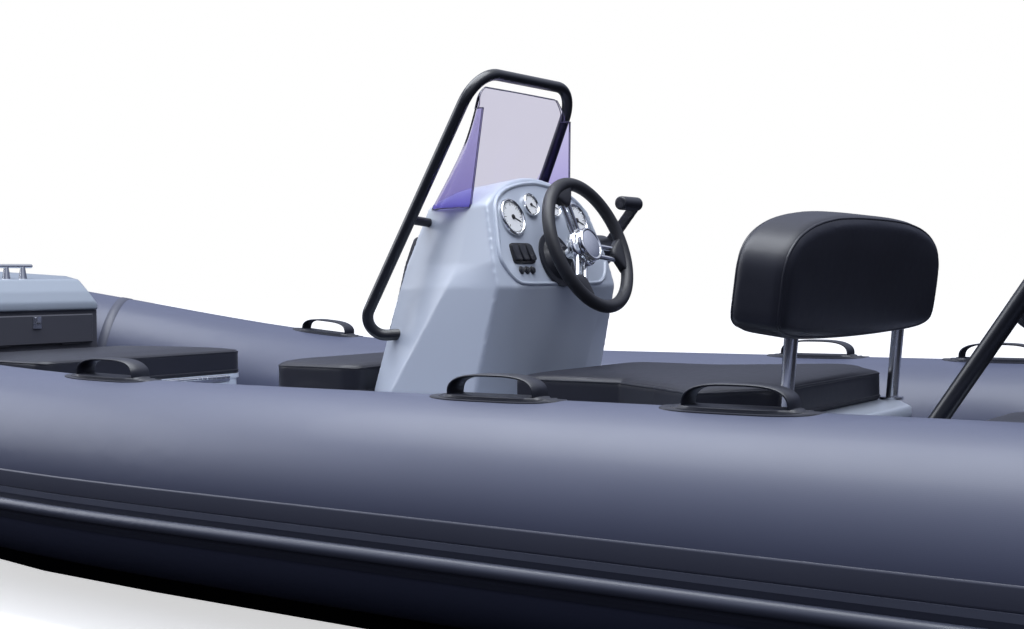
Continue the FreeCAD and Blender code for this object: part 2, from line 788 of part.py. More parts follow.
def dash_outline(inset, low, high):
    """Panel outline with an arched top, as a solid between two depths."""
    half = dash_low_half - inset
    wide = dash_wide_half - inset
    top = dash_top_half - inset
    corners = [V(half, inset, low), V(wide, dash_wide_up, low), V(top, dash_shoulder_up, low)]
    port = [V(-p.x, p.y, low) for p in reversed(corners)]
    edges = [Part.LineSegment(first, second).toShape() for first, second in zip(corners, corners[1:])]
    edges.append(Part.Arc(corners[-1], V(0, dash_height - inset, low), port[0]).toShape())
    edges += [Part.LineSegment(first, second).toShape() for first, second in zip(port, port[1:])]
    edges.append(Part.LineSegment(port[-1], corners[0]).toShape())
    return Part.Face(Part.Wire(edges)).extrude(V(0, 0, high - low))


def console():
    return console_body().cut(dash_frame(dash_outline(0, -dash_depth, over * 2)))


def dash_panel():
    return dash_frame(dash_outline(fit, -dash_depth, -dash_depth + dash_thickness))


# Instruments, standing on the dash: two large dials, two small ones
large_dial_radius = 47.0
small_dial_radius = 30.0
dial_stand = 9.0
dial_bowl_depth = 4.0
dial_taper = 0.96            # the bezel's outer radius at its face, and its bowl's, as shares of the dial's
dial_bowl_share = 0.82
large_dial_across = 144.0
small_dial_across = 50.0
large_dial_up = 163.0
small_dial_up = 198.0


def gauges():
    dials = []
    for across, up_panel, radius in ((large_dial_across, large_dial_up, large_dial_radius),
                                     (small_dial_across, small_dial_up, small_dial_radius)):
        for side in (1, -1):
            seat = V(side * across, up_panel, 0)
            bezel = Part.makeCone(radius, radius * dial_taper, dial_stand, seat, V(0, 0, 1))
            bowl = Part.makeCylinder(radius * dial_bowl_share, dial_stand, seat + V(0, 0, dial_stand - dial_bowl_depth),
                                     V(0, 0, 1))
            dials.append(dash_frame(bezel.cut(bowl)))
    return Part.makeCompound(dials)


# Switch panel to port of the wheel, three rockers over three round buttons
switch_across = 142.0
switch_half = 46.0
switch_low = 46.0
switch_high = 98.0
switch_stand = 4.0
switch_corner = 8.0
rocker_count = 3
rocker_gap = 8.0
rocker_border = 7.0
rocker_stand = 7.0
button_up = 30.0
button_radius = 8.0
button_stand = 6.0
button_pitch_share = 0.75


def switch_panel():
    edge = -switch_across - switch_half
    base = Part.makeBox(switch_half * 2, switch_high - switch_low, switch_stand, V(edge, switch_low, 0))
    base = base.makeFillet(switch_corner, [e for e in base.Edges if abs(e.Length - switch_stand) < fit])
    pitch = switch_half * 2 / rocker_count
    rockers = []
    for i in range(rocker_count):
        corner = V(edge + pitch * i + rocker_gap / 2, switch_low + rocker_border, switch_stand - fit)
        height = switch_high - switch_low - 2 * rocker_border
        rockers.append(Part.makeBox(pitch - rocker_gap, height, rocker_stand, corner))
    return dash_frame(base.fuse(rockers))


def buttons():
    pitch = switch_half * 2 / rocker_count * button_pitch_share
    solids = []
    for i in range(rocker_count):
        seat = V(-switch_across + pitch * (i - (rocker_count - 1) / 2), button_up, 0)
        solids.append(dash_frame(Part.makeCylinder(button_radius, button_stand, seat, V(0, 0, 1))))
    return Part.makeCompound(solids)


# Steering: a helm boot on the dash, a shaft, and a three-spoke wheel square to it
wheel_radius = 175.0
rim_radius = 16.0
wheel_tilt = 20.0            # the shaft points aft and this much up
hub_x = 1320.0
hub_z = 835.0
hub_radius = 44.0
spoke_radius = 6.5
spoke_count = 3
spoke_turn = 20.0            # degrees the spokes are turned at rest
spoke_root_gap = 13.5        # a pair's distance either side of its middle, at the hub and at the rim
spoke_tip_gap = 15.0
spoke_root_share = 0.7       # of the hub's radius
spoke_tip_share = 1.9        # of the rim's radius, short of the wheel's outside
spoke_tip_back_share = 0.2
hub_height = 30.0
cap_height = 12.0
cap_low_share = 0.96
cap_high_share = 0.90
dish = 34.0                  # the hub stands this far forward of the rim
boot_radius = 62.0
boot_depth = 34.0
boot_neck = 22.4
boot_flange = 8.0            # width and thickness of the boot's flange
boot_seat = 2.0              # how far its flange runs on below the dash before it is trimmed to it
shaft_radius = 14.0
wheel_axis = V(-math.cos(math.radians(wheel_tilt)), 0, math.sin(math.radians(wheel_tilt)))
wheel_up = V(math.sin(math.radians(wheel_tilt)), 0, math.cos(math.radians(wheel_tilt)))
hub_centre = V(hub_x, 0, hub_z)


def wheel_frame(shape):
    """From the wheel's own frame (X to starboard, Y up, Z aft along the shaft) to the boat."""
    matrix = FreeCAD.Matrix(
        0, wheel_up.x, wheel_axis.x, hub_centre.x,
        -1, wheel_up.y, wheel_axis.y, hub_centre.y,
        0, wheel_up.z, wheel_axis.z, hub_centre.z,
        0, 0, 0, 1)
    placed = shape.copy()
    placed.Placement = FreeCAD.Placement(matrix).multiply(shape.Placement)
    return placed


def dash_distance():
    """Along the shaft from the hub's middle to the dash panel's face."""
    tilt = math.radians(dash_tilt)
    normal = V(-math.cos(tilt), 0, math.sin(tilt))
    face = dash_point(0, 0, -fit)
    return (hub_centre - face).dot(normal) / wheel_axis.dot(normal)


def helm_boot():
    reach = dash_distance()
    boot = Part.makeCone(boot_radius, boot_neck, boot_depth, V(0, 0, -reach + fit), V(0, 0, 1))
    flange = Part.makeCylinder(boot_radius + boot_flange, boot_flange, V(0, 0, -reach - boot_seat), V(0, 0, 1))
    body = wheel_frame(boot.fuse(flange))
    keep = dash_frame(Part.makeBox(dash_wide_half * 2, dash_height * 2, dash_height,
                                   V(-dash_wide_half, -dash_height / 2, 0)))
    return body.common(keep)


def rim_ring():
    return Part.makeTorus(wheel_radius - rim_radius, rim_radius, V(0, 0, 0), V(0, 0, 1))


def wheel_rim():
    return wheel_frame(rim_ring())


def wheel_spokes():
    """Pairs of rods from the hub out and aft to the rim."""
    spokes = []
    for i in range(spoke_count):
        for side in (1, -1):
            start = V(side * spoke_root_gap, hub_radius * spoke_root_share, -dish + hub_height / 2)
            end = V(side * spoke_tip_gap, wheel_radius - rim_radius * spoke_tip_share, -rim_radius * spoke_tip_back_share)
            rod = Part.makeCylinder(spoke_radius, (end - start).Length, start, end - start)
            spokes.append(rotated(rod, V(0, 0, 0), V(0, 0, 1), 360 / spoke_count * i + spoke_turn))
    return spokes


def wheel_hub():
    hub = Part.makeCylinder(hub_radius, hub_height, V(0, 0, -dish), V(0, 0, 1))
    cap = Part.makeCone(hub_radius * cap_low_share, hub_radius * cap_high_share, cap_height,
                        V(0, 0, -dish + hub_height), V(0, 0, 1))
    start = -dash_distance() + boot_depth + 2 * fit
    shaft = Part.makeCylinder(shaft_radius, -dish - start, V(0, 0, start), V(0, 0, 1))
    return wheel_frame(hub.fuse([cap, shaft] + wheel_spokes()).cut(rim_ring()))


# Throttle on the console's starboard side
control_z = 826.0
control_ahead = 38.0         # its pivot ahead of the console's aft face
control_x = console_line(control_z, 0) + control_ahead
control_root = 196.0         # how near the centreline its drum starts, inside the console
control_radius = 42.0
control_reach = 300.0        # its outer face's distance from the centreline
control_edge_radius = 8.0
lever_length = 158.0
lever_width = 26.0
lever_thickness = 14.0
lever_boss_share = 0.72      # of its width, the radius of its boss
grip_length = 92.0
grip_radius = 18.0
grip_end_radius = 6.0
lever_lean = 40.0            # degrees aft of upright


def control_box(body):
    drum = Part.makeCylinder(control_radius, control_reach - control_root,
                             V(control_x, -control_root, control_z), V(0, -1, 0))
    edges = [e for e in drum.Edges if abs(e.CenterOfMass.y + control_reach) < fit and e.BoundBox.XLength > over]
    return largest(drum.makeFillet(control_edge_radius, edges).cut(body))


def control_lever():
    near = -control_reach - fit
    far = near - lever_thickness
    arm = Part.makeBox(lever_width, lever_thickness, lever_length, V(control_x - lever_width / 2, far, control_z))
    boss = Part.makeCylinder(lever_width * lever_boss_share, lever_thickness,
                             V(control_x, near, control_z), V(0, -1, 0))
    lever = rotated(arm.fuse(boss), V(control_x, 0, control_z), V(0, 1, 0), -lever_lean)
    angle = math.radians(lever_lean)
    top = V(control_x - lever_length * math.sin(angle), far, control_z + lever_length * math.cos(angle))
    grip = Part.makeCylinder(grip_radius, grip_length, top, V(0, 1, 0))
    ends = [e for e in grip.Edges if e.BoundBox.YLength < fit]
    return lever.fuse(grip.makeFillet(grip_end_radius, ends))


# Windshield: one sheet bent round the console's top, open aft, and screwed to the console's sides
shield_thickness = 5.0
shield_low_z = 925.0
shield_top_z = 1222.0
shield_low = (1514.0, 1676.0, 222.0)      # the wings' aft edge, the front, and the half width
shield_top = (1488.0, 1514.0, 190.0)
shield_top_corner = 42.0     # rounding of its upper aft corners, seen from the side
shield_low_corner = 26.0
shield_front_corner = 60.0   # and of its upper corners, seen from ahead
shield_bend_shares = ((0.62, 0.985), (0.93, 0.80))    # of its depth and half width, where it turns to the front


def shield_curve(row, z, inset):
    aft, front, half = row
    half = half - inset
    front = front - inset
    depth = front - aft
    points = [V(aft, half, z)]
    points += [V(aft + depth * forward, half * out, z) for forward, out in shield_bend_shares]
    points.append(V(front, 0, z))
    points += [V(p.x, -p.y, p.z) for p in reversed(points[:-1])]
    curve = Part.BSplineCurve()
    curve.interpolate(points)
    return curve, points


def shield_blank(low_inset, high_inset):
    """The sheet before its corners are rounded, between two depths from its outer face."""
    wires = []
    for row, z in ((shield_low, shield_low_z), (shield_top, shield_top_z)):
        outer, outer_points = shield_curve(row, z, low_inset)
        inner, inner_points = shield_curve(row, z, high_inset)
        wires.append(Part.Wire([
            outer.toShape(),
            Part.LineSegment(outer_points[-1], inner_points[-1]).toShape(),
            inner.toShape(),
            Part.LineSegment(inner_points[0], outer_points[0]).toShape()]))
    return loft(wires, True)


def windshield(body):
    """Cut where the console stands, so it seats round the console's top and sides."""
    sheet = shield_blank(0, shield_thickness)
    half = shield_low[2] + over
    side = prism([V(shield_low[0] - fit, -half, shield_low_z), V(shield_top[0] - fit, -half, shield_top_z),
                  V(shield_low[1] + over, -half, shield_top_z), V(shield_low[1] + over, -half, shield_low_z)],
                 V(0, half * 2, 0))
    for corner, radius in ((shield_top_z, shield_top_corner), (shield_low_z, shield_low_corner)):
        edges = [e for e in side.Edges if e.BoundBox.YLength > half and e.BoundBox.XMax < shield_low[0] + over
                 and abs(e.BoundBox.ZMax - corner) < fit]
        side = side.makeFillet(radius, edges)
    front = box(shield_top[0] - over, shield_low[1] + over, -shield_top[2] - fit, shield_top[2] + fit,
                console_crown, shield_top_z)
    edges = [e for e in front.Edges if e.BoundBox.XLength > over and e.BoundBox.ZMin > shield_top_z - fit]
    front = front.makeFillet(shield_front_corner, edges)
    below = box(shield_top[0] - over, shield_low[1] + over, -half, half,
                shield_low_z - over, shield_top_z - shield_front_corner)
    return largest(sheet.common(side).common(front.fuse(below)).cut(body))


# Handrail round the windshield, returned into the console's front bevels
handrail_radius = 14.0
handrail_bends = (46.0, 92.0, 92.0, 46.0)
handrail_foot_in = (87.5, 26.0)           # its foot behind and inboard of the front face's edge, inside the console
handrail_knee_out = (34.5, 74.0)          # its knee ahead and outboard of that edge
handrail_foot_z = 622.0
handrail_knee_z = 616.0
handrail_shoulder_back = 22.0             # its shoulder behind the shield's front, and outside its sides
handrail_shoulder_out = 26.0
handrail_shoulder_rise = 24.0
handrail_stay_z = 900.0
handrail_stay_radius = 11.0
handrail_stay_in = 85.0      # how far inboard the stay's end lies


def handrail(body):
    front = console_line(handrail_foot_z, 3)
    edge = console_rows[1][-1][1]
    foot = V(front - handrail_foot_in[0], edge - handrail_foot_in[1], handrail_foot_z)
    knee = V(front + handrail_knee_out[0], edge + handrail_knee_out[1], handrail_knee_z)
    shoulder = V(shield_top[1] - handrail_shoulder_back, shield_top[2] + handrail_shoulder_out,
                 shield_top_z + handrail_shoulder_rise)
    port = [foot, knee, shoulder]
    points = port + [V(p.x, -p.y, p.z) for p in reversed(port)]
    rail = bent_tube(points, handrail_bends, handrail_radius)
    share = (handrail_stay_z - knee.z) / (shoulder.z - knee.z)
    start = knee + (shoulder - knee) * share
    stays = []
    for side in (1, -1):
        begin = V(start.x, side * start.y, start.z)
        end = begin + V(-over, -side * handrail_stay_in, -over / 2)
        stays.append(Part.makeCylinder(handrail_stay_radius, (end - begin).Length, begin, end - begin))
    return largest(rail.fuse(stays).cut(body))


# Helm seat: narrow between the helmsman's knees, wide under the backrest
helm_rows = ((1360.0, 262.0), (1085.0, 262.0), (960.0, 340.0), (815.0, 452.0), (697.0, 286.0))
helm_base_top = 462.0
helm_cushion_height = 70.0
helm_plan_top = (
    # distance forward and half width of the base's rim, from its front to its stern
    (1352.0, 226.0), (1085.0, 226.0), (960.0, 320.0), (830.0, 400.0),
    (694.0, 386.0), (640.0, 288.0), (592.0, 200.0))
helm_foot_in = 26.0          # the base narrows by this much down to the sole
helm_lip = 30.0              # height of its upper rim
helm_lip_step = 10.0
helm_lip_round_share = 0.8


def helm_row(inset, z):
    middle = (helm_plan_top[0][0] + helm_plan_top[-1][0]) / 2
    length = helm_plan_top[0][0] - helm_plan_top[-1][0]
    port = [V(middle + (x - middle) * (1 - 2 * inset / length), half - inset, z) for x, half in helm_plan_top]
    return polygon(port + [V(p.x, -p.y, p.z) for p in reversed(port)])


def helm_seat_base():
    lip_low = helm_base_top - helm_lip
    foot = loft([helm_row(helm_foot_in, sole_top), helm_row(helm_lip_step, lip_low)], True)
    lip = loft([helm_row(0, lip_low), helm_row(0, helm_base_top)], True)
    edges = [e for e in lip.Edges if e.BoundBox.ZMin > helm_base_top - fit]
    return foot.fuse(lip.makeFillet(helm_lip_step * helm_lip_round_share, edges))


def helm_seat_cushion():
    low = helm_base_top + fit
    port = [V(x, half, low) for x, half in helm_rows]
    plan = polygon(port + [V(p.x, -p.y, p.z) for p in reversed(port)])
    solid = Part.Face(plan).extrude(V(0, 0, helm_cushion_height))
    return soft_top(solid, low + helm_cushion_height)


# Backrest: a padded board on two posts
backrest_post_y = 312.0
backrest_post_x = 665.0
backrest_post_radius = 14.0
backrest_post_foot_ahead = 14.0
backrest_post_head_back = 6.0
backrest_flange_height = 6.0
backrest_low = 634.0
backrest_high = 886.0
backrest_half = 462.0
backrest_front = 738.0
backrest_thickness = 114.0
backrest_lean = 8.0
backrest_middle_share = 0.42 # of its height, where it is widest
backrest_top_power = 3.6     # how square its upper and lower corners are: 2 is an ellipse
backrest_low_power = 8.0
backrest_outline_points = 48
backrest_edge_radius = 24.0


def backrest_posts(pad):
    clearance = pad.fuse(moved(pad, V(0, 0, -fit)))
    posts = []
    for side in (1, -1):
        foot = V(backrest_post_x + backrest_post_foot_ahead, side * backrest_post_y, helm_base_top + fit)
        head = V(backrest_post_x - backrest_post_head_back, side * backrest_post_y, backrest_low + over * 2)
        post = Part.makeCylinder(backrest_post_radius, (head - foot).Length, foot, head - foot)
        post = largest(post.cut(clearance))
        flange = Part.makeCylinder(backrest_post_radius * 2, backrest_flange_height, foot, V(0, 0, 1))
        posts.append(post.fuse(flange).common(box(0, nose_centre, -tube_offset, tube_offset, foot.z, tube_height * 4)))
    return Part.makeCompound(posts)


def backrest_pad():
    """Wide rounded corners at the top and tight ones below, leaning aft on its posts."""
    height = backrest_high - backrest_low
    middle = height * backrest_middle_share
    points = []
    for i in range(backrest_outline_points):
        angle = 2 * math.pi * (i + 0.5) / backrest_outline_points
        across = math.cos(angle)
        up = math.sin(angle)
        power = backrest_top_power if up > 0 else backrest_low_power
        reach = height - middle if up > 0 else middle
        points.append(V(0, backrest_half * math.copysign(abs(across) ** (2 / power), across),
                        middle + reach * math.copysign(abs(up) ** (2 / power), up)))
    curve = Part.BSplineCurve()
    curve.interpolate(points, PeriodicFlag=True)
    pad = Part.Face(Part.Wire([curve.toShape()])).extrude(V(-backrest_thickness, 0, 0))
    pad = softened(pad, backrest_edge_radius, lambda e: e.BoundBox.XLength < fit)
    pad = rotated(pad, V(0, 0, 0), V(0, 1, 0), -backrest_lean)
    return moved(pad, V(backrest_front, 0,
                        backrest_low + backrest_thickness * math.sin(math.radians(backrest_lean))))


# Padded front-seat backrest on the console's front
back_pad_low = 560.0
back_pad_high = 862.0
back_pad_bevel = 14.0
back_pad_half = 180.0
back_pad_thickness = 34.0


def console_back_pad(body):
    """Follows the console's front face, with its forward corners bevelled."""
    wires = []
    for z in (back_pad_low, console_rows[2][0], console_rows[3][0], back_pad_high):
        near = console_line(z, 3) - back_pad_thickness / 2
        far = console_line(z, 3) + fit + back_pad_thickness
        wires.append(polygon([
            V(near, back_pad_half, z), V(far - back_pad_bevel, back_pad_half, z),
            V(far, back_pad_half - back_pad_bevel, z), V(far, back_pad_bevel - back_pad_half, z),
            V(far - back_pad_bevel, -back_pad_half, z), V(near, -back_pad_half, z)]))
    return largest(loft(wires, True).cut(moved(body, V(fit, 0, 0))))


# Stern bench ahead of the transom, and the arch whose feet stand on it
bench_clear = 16.0           # from the transom to the bench
bench_margin = 5.0           # from the arch's feet to the bench's ends
bench_aft = transom_thickness + bench_clear
bench_front = 455.0
bench_top = 372.0
bench_cushion_height = 60.0
bench_cushion_aft_in = 10.0  # the cushion's edges within the bench's, and within the arch at its ends
bench_cushion_front_in = 8.0
bench_cushion_side_in = 60.0
arch_radius = 16.0
arch_half = 505.0
arch_foot_x = 399.0
arch_lean = 34.0             # degrees aft of upright
arch_foot_radius = 38.0
arch_foot_height = 8.0
arch_bar_radius = 9.0
arch_top_z = 1210.0
arch_bend = 150.0
arch_pad_low = 655.0
arch_pad_high = 845.0
arch_pad_thickness = 56.0
arch_pad_ahead = 14.0        # of its thickness, what lies ahead of the legs' plane
arch_pad_half = 440.0
arch_pad_round = 18.0
arch_bar_inset = 45.0        # the bars' distance from the pad's lower and upper edges
bench_half = arch_half + arch_foot_radius + bench_margin


def stern_bench(space):
    body = box(bench_aft, bench_front, -bench_half, bench_half, sole_top, bench_top)
    return largest(body.cut(space))


def stern_cushion():
    low = bench_top + fit
    half = arch_half - bench_cushion_side_in
    solid = box(bench_aft + bench_cushion_aft_in, bench_front - bench_cushion_front_in, -half, half,
                low, low + bench_cushion_height)
    edges = [e for e in solid.Edges if e.BoundBox.ZMin > low + fit or e.BoundBox.ZLength > fit]
    return solid.makeFillet(cushion_edge, edges)


def arch_x(z):
    return arch_foot_x - (z - bench_top) * math.tan(math.radians(arch_lean))


def stern_arch():
    foot = bench_top + fit
    low = foot - over
    points = [V(arch_x(low), arch_half, low), V(arch_x(arch_top_z), arch_half, arch_top_z),
              V(arch_x(arch_top_z), -arch_half, arch_top_z), V(arch_x(low), -arch_half, low)]
    tube = bent_tube(points, [arch_bend] * 2, arch_radius).fuse(arch_bars(arch_bar_radius, arch_half))
    tube = tube.common(box(-nose_centre, nose_centre, -tube_offset, tube_offset, foot, arch_top_z * 2))
    feet = []
    for side in (1, -1):
        feet.append(Part.makeCylinder(arch_foot_radius, arch_foot_height,
                                      V(arch_x(foot), side * arch_half, foot), V(0, 0, 1)))
    return tube.fuse(feet)


def arch_bars(radius, half):
    """Two cross bars that the pad is threaded on."""
    bars = []
    for z in (arch_pad_low + arch_bar_inset, arch_pad_high - arch_bar_inset):
        bars.append(Part.makeCylinder(radius, half * 2, V(arch_x(z), -half, z), V(0, 1, 0)))
    return bars


def arch_pad():
    height = arch_pad_high - arch_pad_low
    pad = box(arch_pad_ahead - arch_pad_thickness, arch_pad_ahead, -arch_pad_half, arch_pad_half, 0, height)
    pad = pad.makeFillet(arch_pad_round, pad.Edges)
    low = arch_pad_low + height * (1 - math.cos(math.radians(arch_lean))) / 2
    pad = moved(rotated(pad, V(0, 0, 0), V(0, 1, 0), -arch_lean), V(arch_x(low), 0, low))
    return pad.cut(arch_bars(arch_bar_radius + fit, arch_half))


# Grab handles on top of the collar
handle_places = (556.0, 1052.0, 2140.0, 2880.0)
patch_length = 296.0
patch_thickness = 3.0
patch_half_angle = 13.0
plinth_length = 236.0
plinth_half_angle = 8.0
plinth_height = 10.0
strap_length = 200.0
strap_width = 40.0
strap_thickness = 5.0
strap_rise = 46.0
strap_root_share = 0.6       # of the plinth's height, where the strap's ends start
strap_shoulder_share = 0.80  # of its half length, where it turns down, and how far below its top
strap_shoulder_drop = 11.0
sleeve_shares = (-0.5, -0.25, 0.0, 0.25, 0.5)


def sector(radius_low, radius_high, half_angle):
    """Outline of a patch on the tube, seen along the tube; its middle is the tube's top."""
    centre = math.pi / 2
    low = centre - math.radians(half_angle)
    high = centre + math.radians(half_angle)
    def at(radius, angle):
        return V(radius * math.cos(angle), radius * math.sin(angle), 0)
    return Part.Wire([
        Part.Arc(at(radius_low, low), at(radius_low, centre), at(radius_low, high)).toShape(),
        Part.LineSegment(at(radius_low, high), at(radius_high, high)).toShape(),
        Part.Arc(at(radius_high, high), at(radius_high, centre), at(radius_high, low)).toShape(),
        Part.LineSegment(at(radius_high, low), at(radius_low, low)).toShape()])


def sleeve_part(x, radius_low, radius_high, half_angle, length):
    """A patch that follows the tube's own curve."""
    matrices = [plan_matrix(x + length * share) for share in sleeve_shares]
    return run_of(sector(radius_low, radius_high, half_angle), matrices)


def strap_line(drop):
    """Side view of the strap's outer face, or of a face this far inside it."""
    base = tube_radius + fit * 2
    low = base + plinth_height * strap_root_share
    top = base + strap_rise - drop
    half = strap_length / 2
    across = -strap_width / 2
    shoulder = half * strap_shoulder_share - drop / 2
    curve = Part.BSplineCurve()
    curve.interpolate([
        V(across, low, drop - half), V(across, top - strap_shoulder_drop, -shoulder), V(across, top, 0),
        V(across, top - strap_shoulder_drop, shoulder), V(across, low, half - drop)])
    return curve


def handle(x):
    base = tube_radius + fit * 2
    patch = sleeve_part(x, base, base + patch_thickness, patch_half_angle, patch_length)
    plinth = sleeve_part(x, base, base + plinth_height, plinth_half_angle, plinth_length)
    outer = strap_line(0)
    inner = strap_line(strap_thickness)
    wire = Part.Wire([
        outer.toShape(),
        Part.LineSegment(outer.EndPoint, inner.EndPoint).toShape(),
        inner.toShape(),
        Part.LineSegment(inner.StartPoint, outer.StartPoint).toShape()])
    strap = Part.Face(wire).extrude(V(strap_width, 0, 0))
    strap.Placement = FreeCAD.Placement(plan_matrix(x))
    return patch.fuse([plinth, strap]).removeSplitter()


def plan_matrix(x):
    before = V(x - 1, tube_y(x - 1), tube_z(x - 1))
    after = V(x + 1, tube_y(x + 1), tube_z(x + 1))
    return section_matrix(V(x, tube_y(x), tube_z(x)), after - before)


def handles():
    return Part.makeCompound([handle(x) for x in handle_places])


# Fittings: forged eyes at the bow and the transom, and the collar's valves
eye_radius = 26.0
eye_bore = 13.0
eye_thickness = 10.0
eye_reach = 30.0             # from the eye's seat to its bore
bow_eye_z = 150.0
transom_eye_y = 430.0
transom_eye_z = 36.0
eye_neck_share = 1.2         # the neck's half height, against the bore's radius
eye_plate_half = 24.0
eye_plate_tall_share = 1.3
eye_plate_thickness = 6.0


def eye_lug(x, y, z, direction):
    """A flat ring on a neck, its bore across the boat; direction is 1 for a lug that points forward."""
    low = V(x, y - eye_thickness / 2, z)
    disc = Part.makeCylinder(eye_radius, eye_thickness, low, V(0, 1, 0))
    reach = eye_reach + over * 2
    neck = box(min(x, x - direction * reach), max(x, x - direction * reach), low.y, low.y + eye_thickness,
               z - eye_bore * eye_neck_share, z + eye_bore * eye_neck_share)
    bore = Part.makeCylinder(eye_bore, eye_thickness + 2 * over, low - V(0, over, 0), V(0, 1, 0))
    return disc.fuse(neck).cut(bore)


def bow_eye(body):
    lug = eye_lug(stem_x(bow_eye_z) + eye_reach, 0, bow_eye_z, 1).cut(body)
    return largest(lug)


def stem_x(z):
    """Where the stem passes this height."""
    low = forefoot_start
    high = nose_centre + stem_length
    while high - low > fit / 100:
        middle = (low + high) / 2
        if keel_z(middle) < z:
            low = middle
        else:
            high = middle
    return low


def transom_eyes():
    eyes = []
    for side in (1, -1):
        y = side * transom_eye_y
        tall = eye_plate_half * eye_plate_tall_share
        plate = box(-eye_plate_thickness, 0, y - eye_plate_half, y + eye_plate_half,
                    transom_eye_z - tall, transom_eye_z + tall)
        lug = eye_lug(-eye_plate_thickness - eye_reach, y, transom_eye_z, -1)
        lug = lug.common(box(-nose_centre, 0, -tube_offset, tube_offset, -tube_offset, tube_offset))
        eyes.append(plate.fuse(lug))
    return Part.makeCompound(eyes)


valve_places = (330.0, 1700.0, 2560.0)
valve_radius = 32.0
valve_turn = 60.0            # degrees down from the tube's top, towards the cockpit
valve_root = 1.5             # how far its flange starts inside the tube, before it is trimmed to it
valve_flange_height = 9.0
valve_flange_share = 0.8
valve_cap_share = 0.5
valve_cap_height = 6.0


def valves():
    solids = []
    for x in valve_places:
        flange = Part.makeCone(valve_radius, valve_radius * valve_flange_share, valve_flange_height,
                               V(0, 0, tube_radius - valve_root), V(0, 0, 1))
        cap = Part.makeCylinder(valve_radius * valve_cap_share, valve_cap_height,
                                V(0, 0, tube_radius + valve_cap_height), V(0, 0, 1))
        valve = rotated(flange.fuse(cap), V(0, 0, 0), V(1, 0, 0), valve_turn)
        solids.append(moved(valve, V(x, tube_y(x), tube_z(x))))
    return solids


def main():
    os.makedirs("parts", exist_ok=True)
    space = collar_space()
    side = collar_side(tube_radius)
    shapes = {}
    shapes["hull"] = hull(space)
    shapes["sole"] = sole()
    shapes["transom"] = transom(space)
    shapes["collar_port"] = side
    shapes["collar_bow"] = collar_bow(tube_radius)
    shapes["collar_starboard"] = mirrored(side)
    cap = cone_cap()
    shapes["cone_caps"] = Part.makeCompound([cap, mirrored(cap)])
    shapes["rubbing_strake"] = rubbing_strake()
    shapes["bow_step"] = bow_step(space)
    shapes["bow_cleat"] = bow_cleat().cut(shapes["bow_step"])
    shapes["bow_bulkhead"] = largest(bow_bulkhead(space, shapes["hull"]).cut(moved(shapes["bow_step"], V(0, 0, -fit))))
    shapes["bow_locker"] = bow_locker()
    shapes["bow_lid"] = bow_lid()
    shapes["bow_cushion"] = bow_cushion()
    shapes["locker_door"] = locker_door()
    shapes["door_latch"] = door_latch()
    shapes["front_seat_box"] = front_seat_box()
    shapes["front_seat_lid"] = front_seat_lid()
    shapes["front_seat_cushion"] = front_seat_cushion()
    shapes["console"] = console()
    shapes["windshield"] = windshield(shapes["console"])
    shapes["console_back_pad"] = console_back_pad(shapes["console"])
    shapes["dash_panel"] = dash_panel()
    shapes["gauges"] = gauges()
    shapes["switch_panel"] = switch_panel()
    shapes["dash_buttons"] = buttons()
    shapes["helm_boot"] = largest(helm_boot().cut([shapes["console"], shapes["dash_panel"]]))
    shapes["wheel_rim"] = wheel_rim()
    shapes["wheel_hub"] = wheel_hub()
    shapes["control_box"] = control_box([shapes["console"], shapes["dash_panel"]])
    shapes["control_lever"] = control_lever()
    shapes["handrail"] = handrail([shapes["console"], shapes["windshield"]])
    shapes["helm_seat_base"] = helm_seat_base()
    shapes["helm_seat_cushion"] = helm_seat_cushion()
    shapes["backrest_pad"] = backrest_pad()
    shapes["backrest_posts"] = backrest_posts(shapes["backrest_pad"])
    shapes["stern_bench"] = stern_bench(space)
    shapes["stern_cushion"] = stern_cushion()
    shapes["stern_arch"] = stern_arch()
    shapes["arch_pad"] = arch_pad()
    port_handles = handles()
    shapes["handles_port"] = port_handles
    shapes["handles_starboard"] = mirrored(port_handles)
    port_valves = [valve.cut(space[0]) for valve in valves()]
    shapes["valves"] = Part.makeCompound(port_valves + [mirrored(valve) for valve in port_valves])
    shapes["bow_eye"] = bow_eye(shapes["hull"])
    shapes["transom_eyes"] = transom_eyes()
    for name, shape in shapes.items():
        shape.exportStep("parts/" + name + ".step")
        print(name, shape.isValid(), len(shape.Solids), round(shape.Volume / 1e3, 1))


main()
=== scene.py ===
import json
import math

import bmesh
import bpy
import numpy as np
from mathutils import Matrix, Vector
from mathutils.bvhtree import BVHTree
from mathutils.kdtree import KDTree

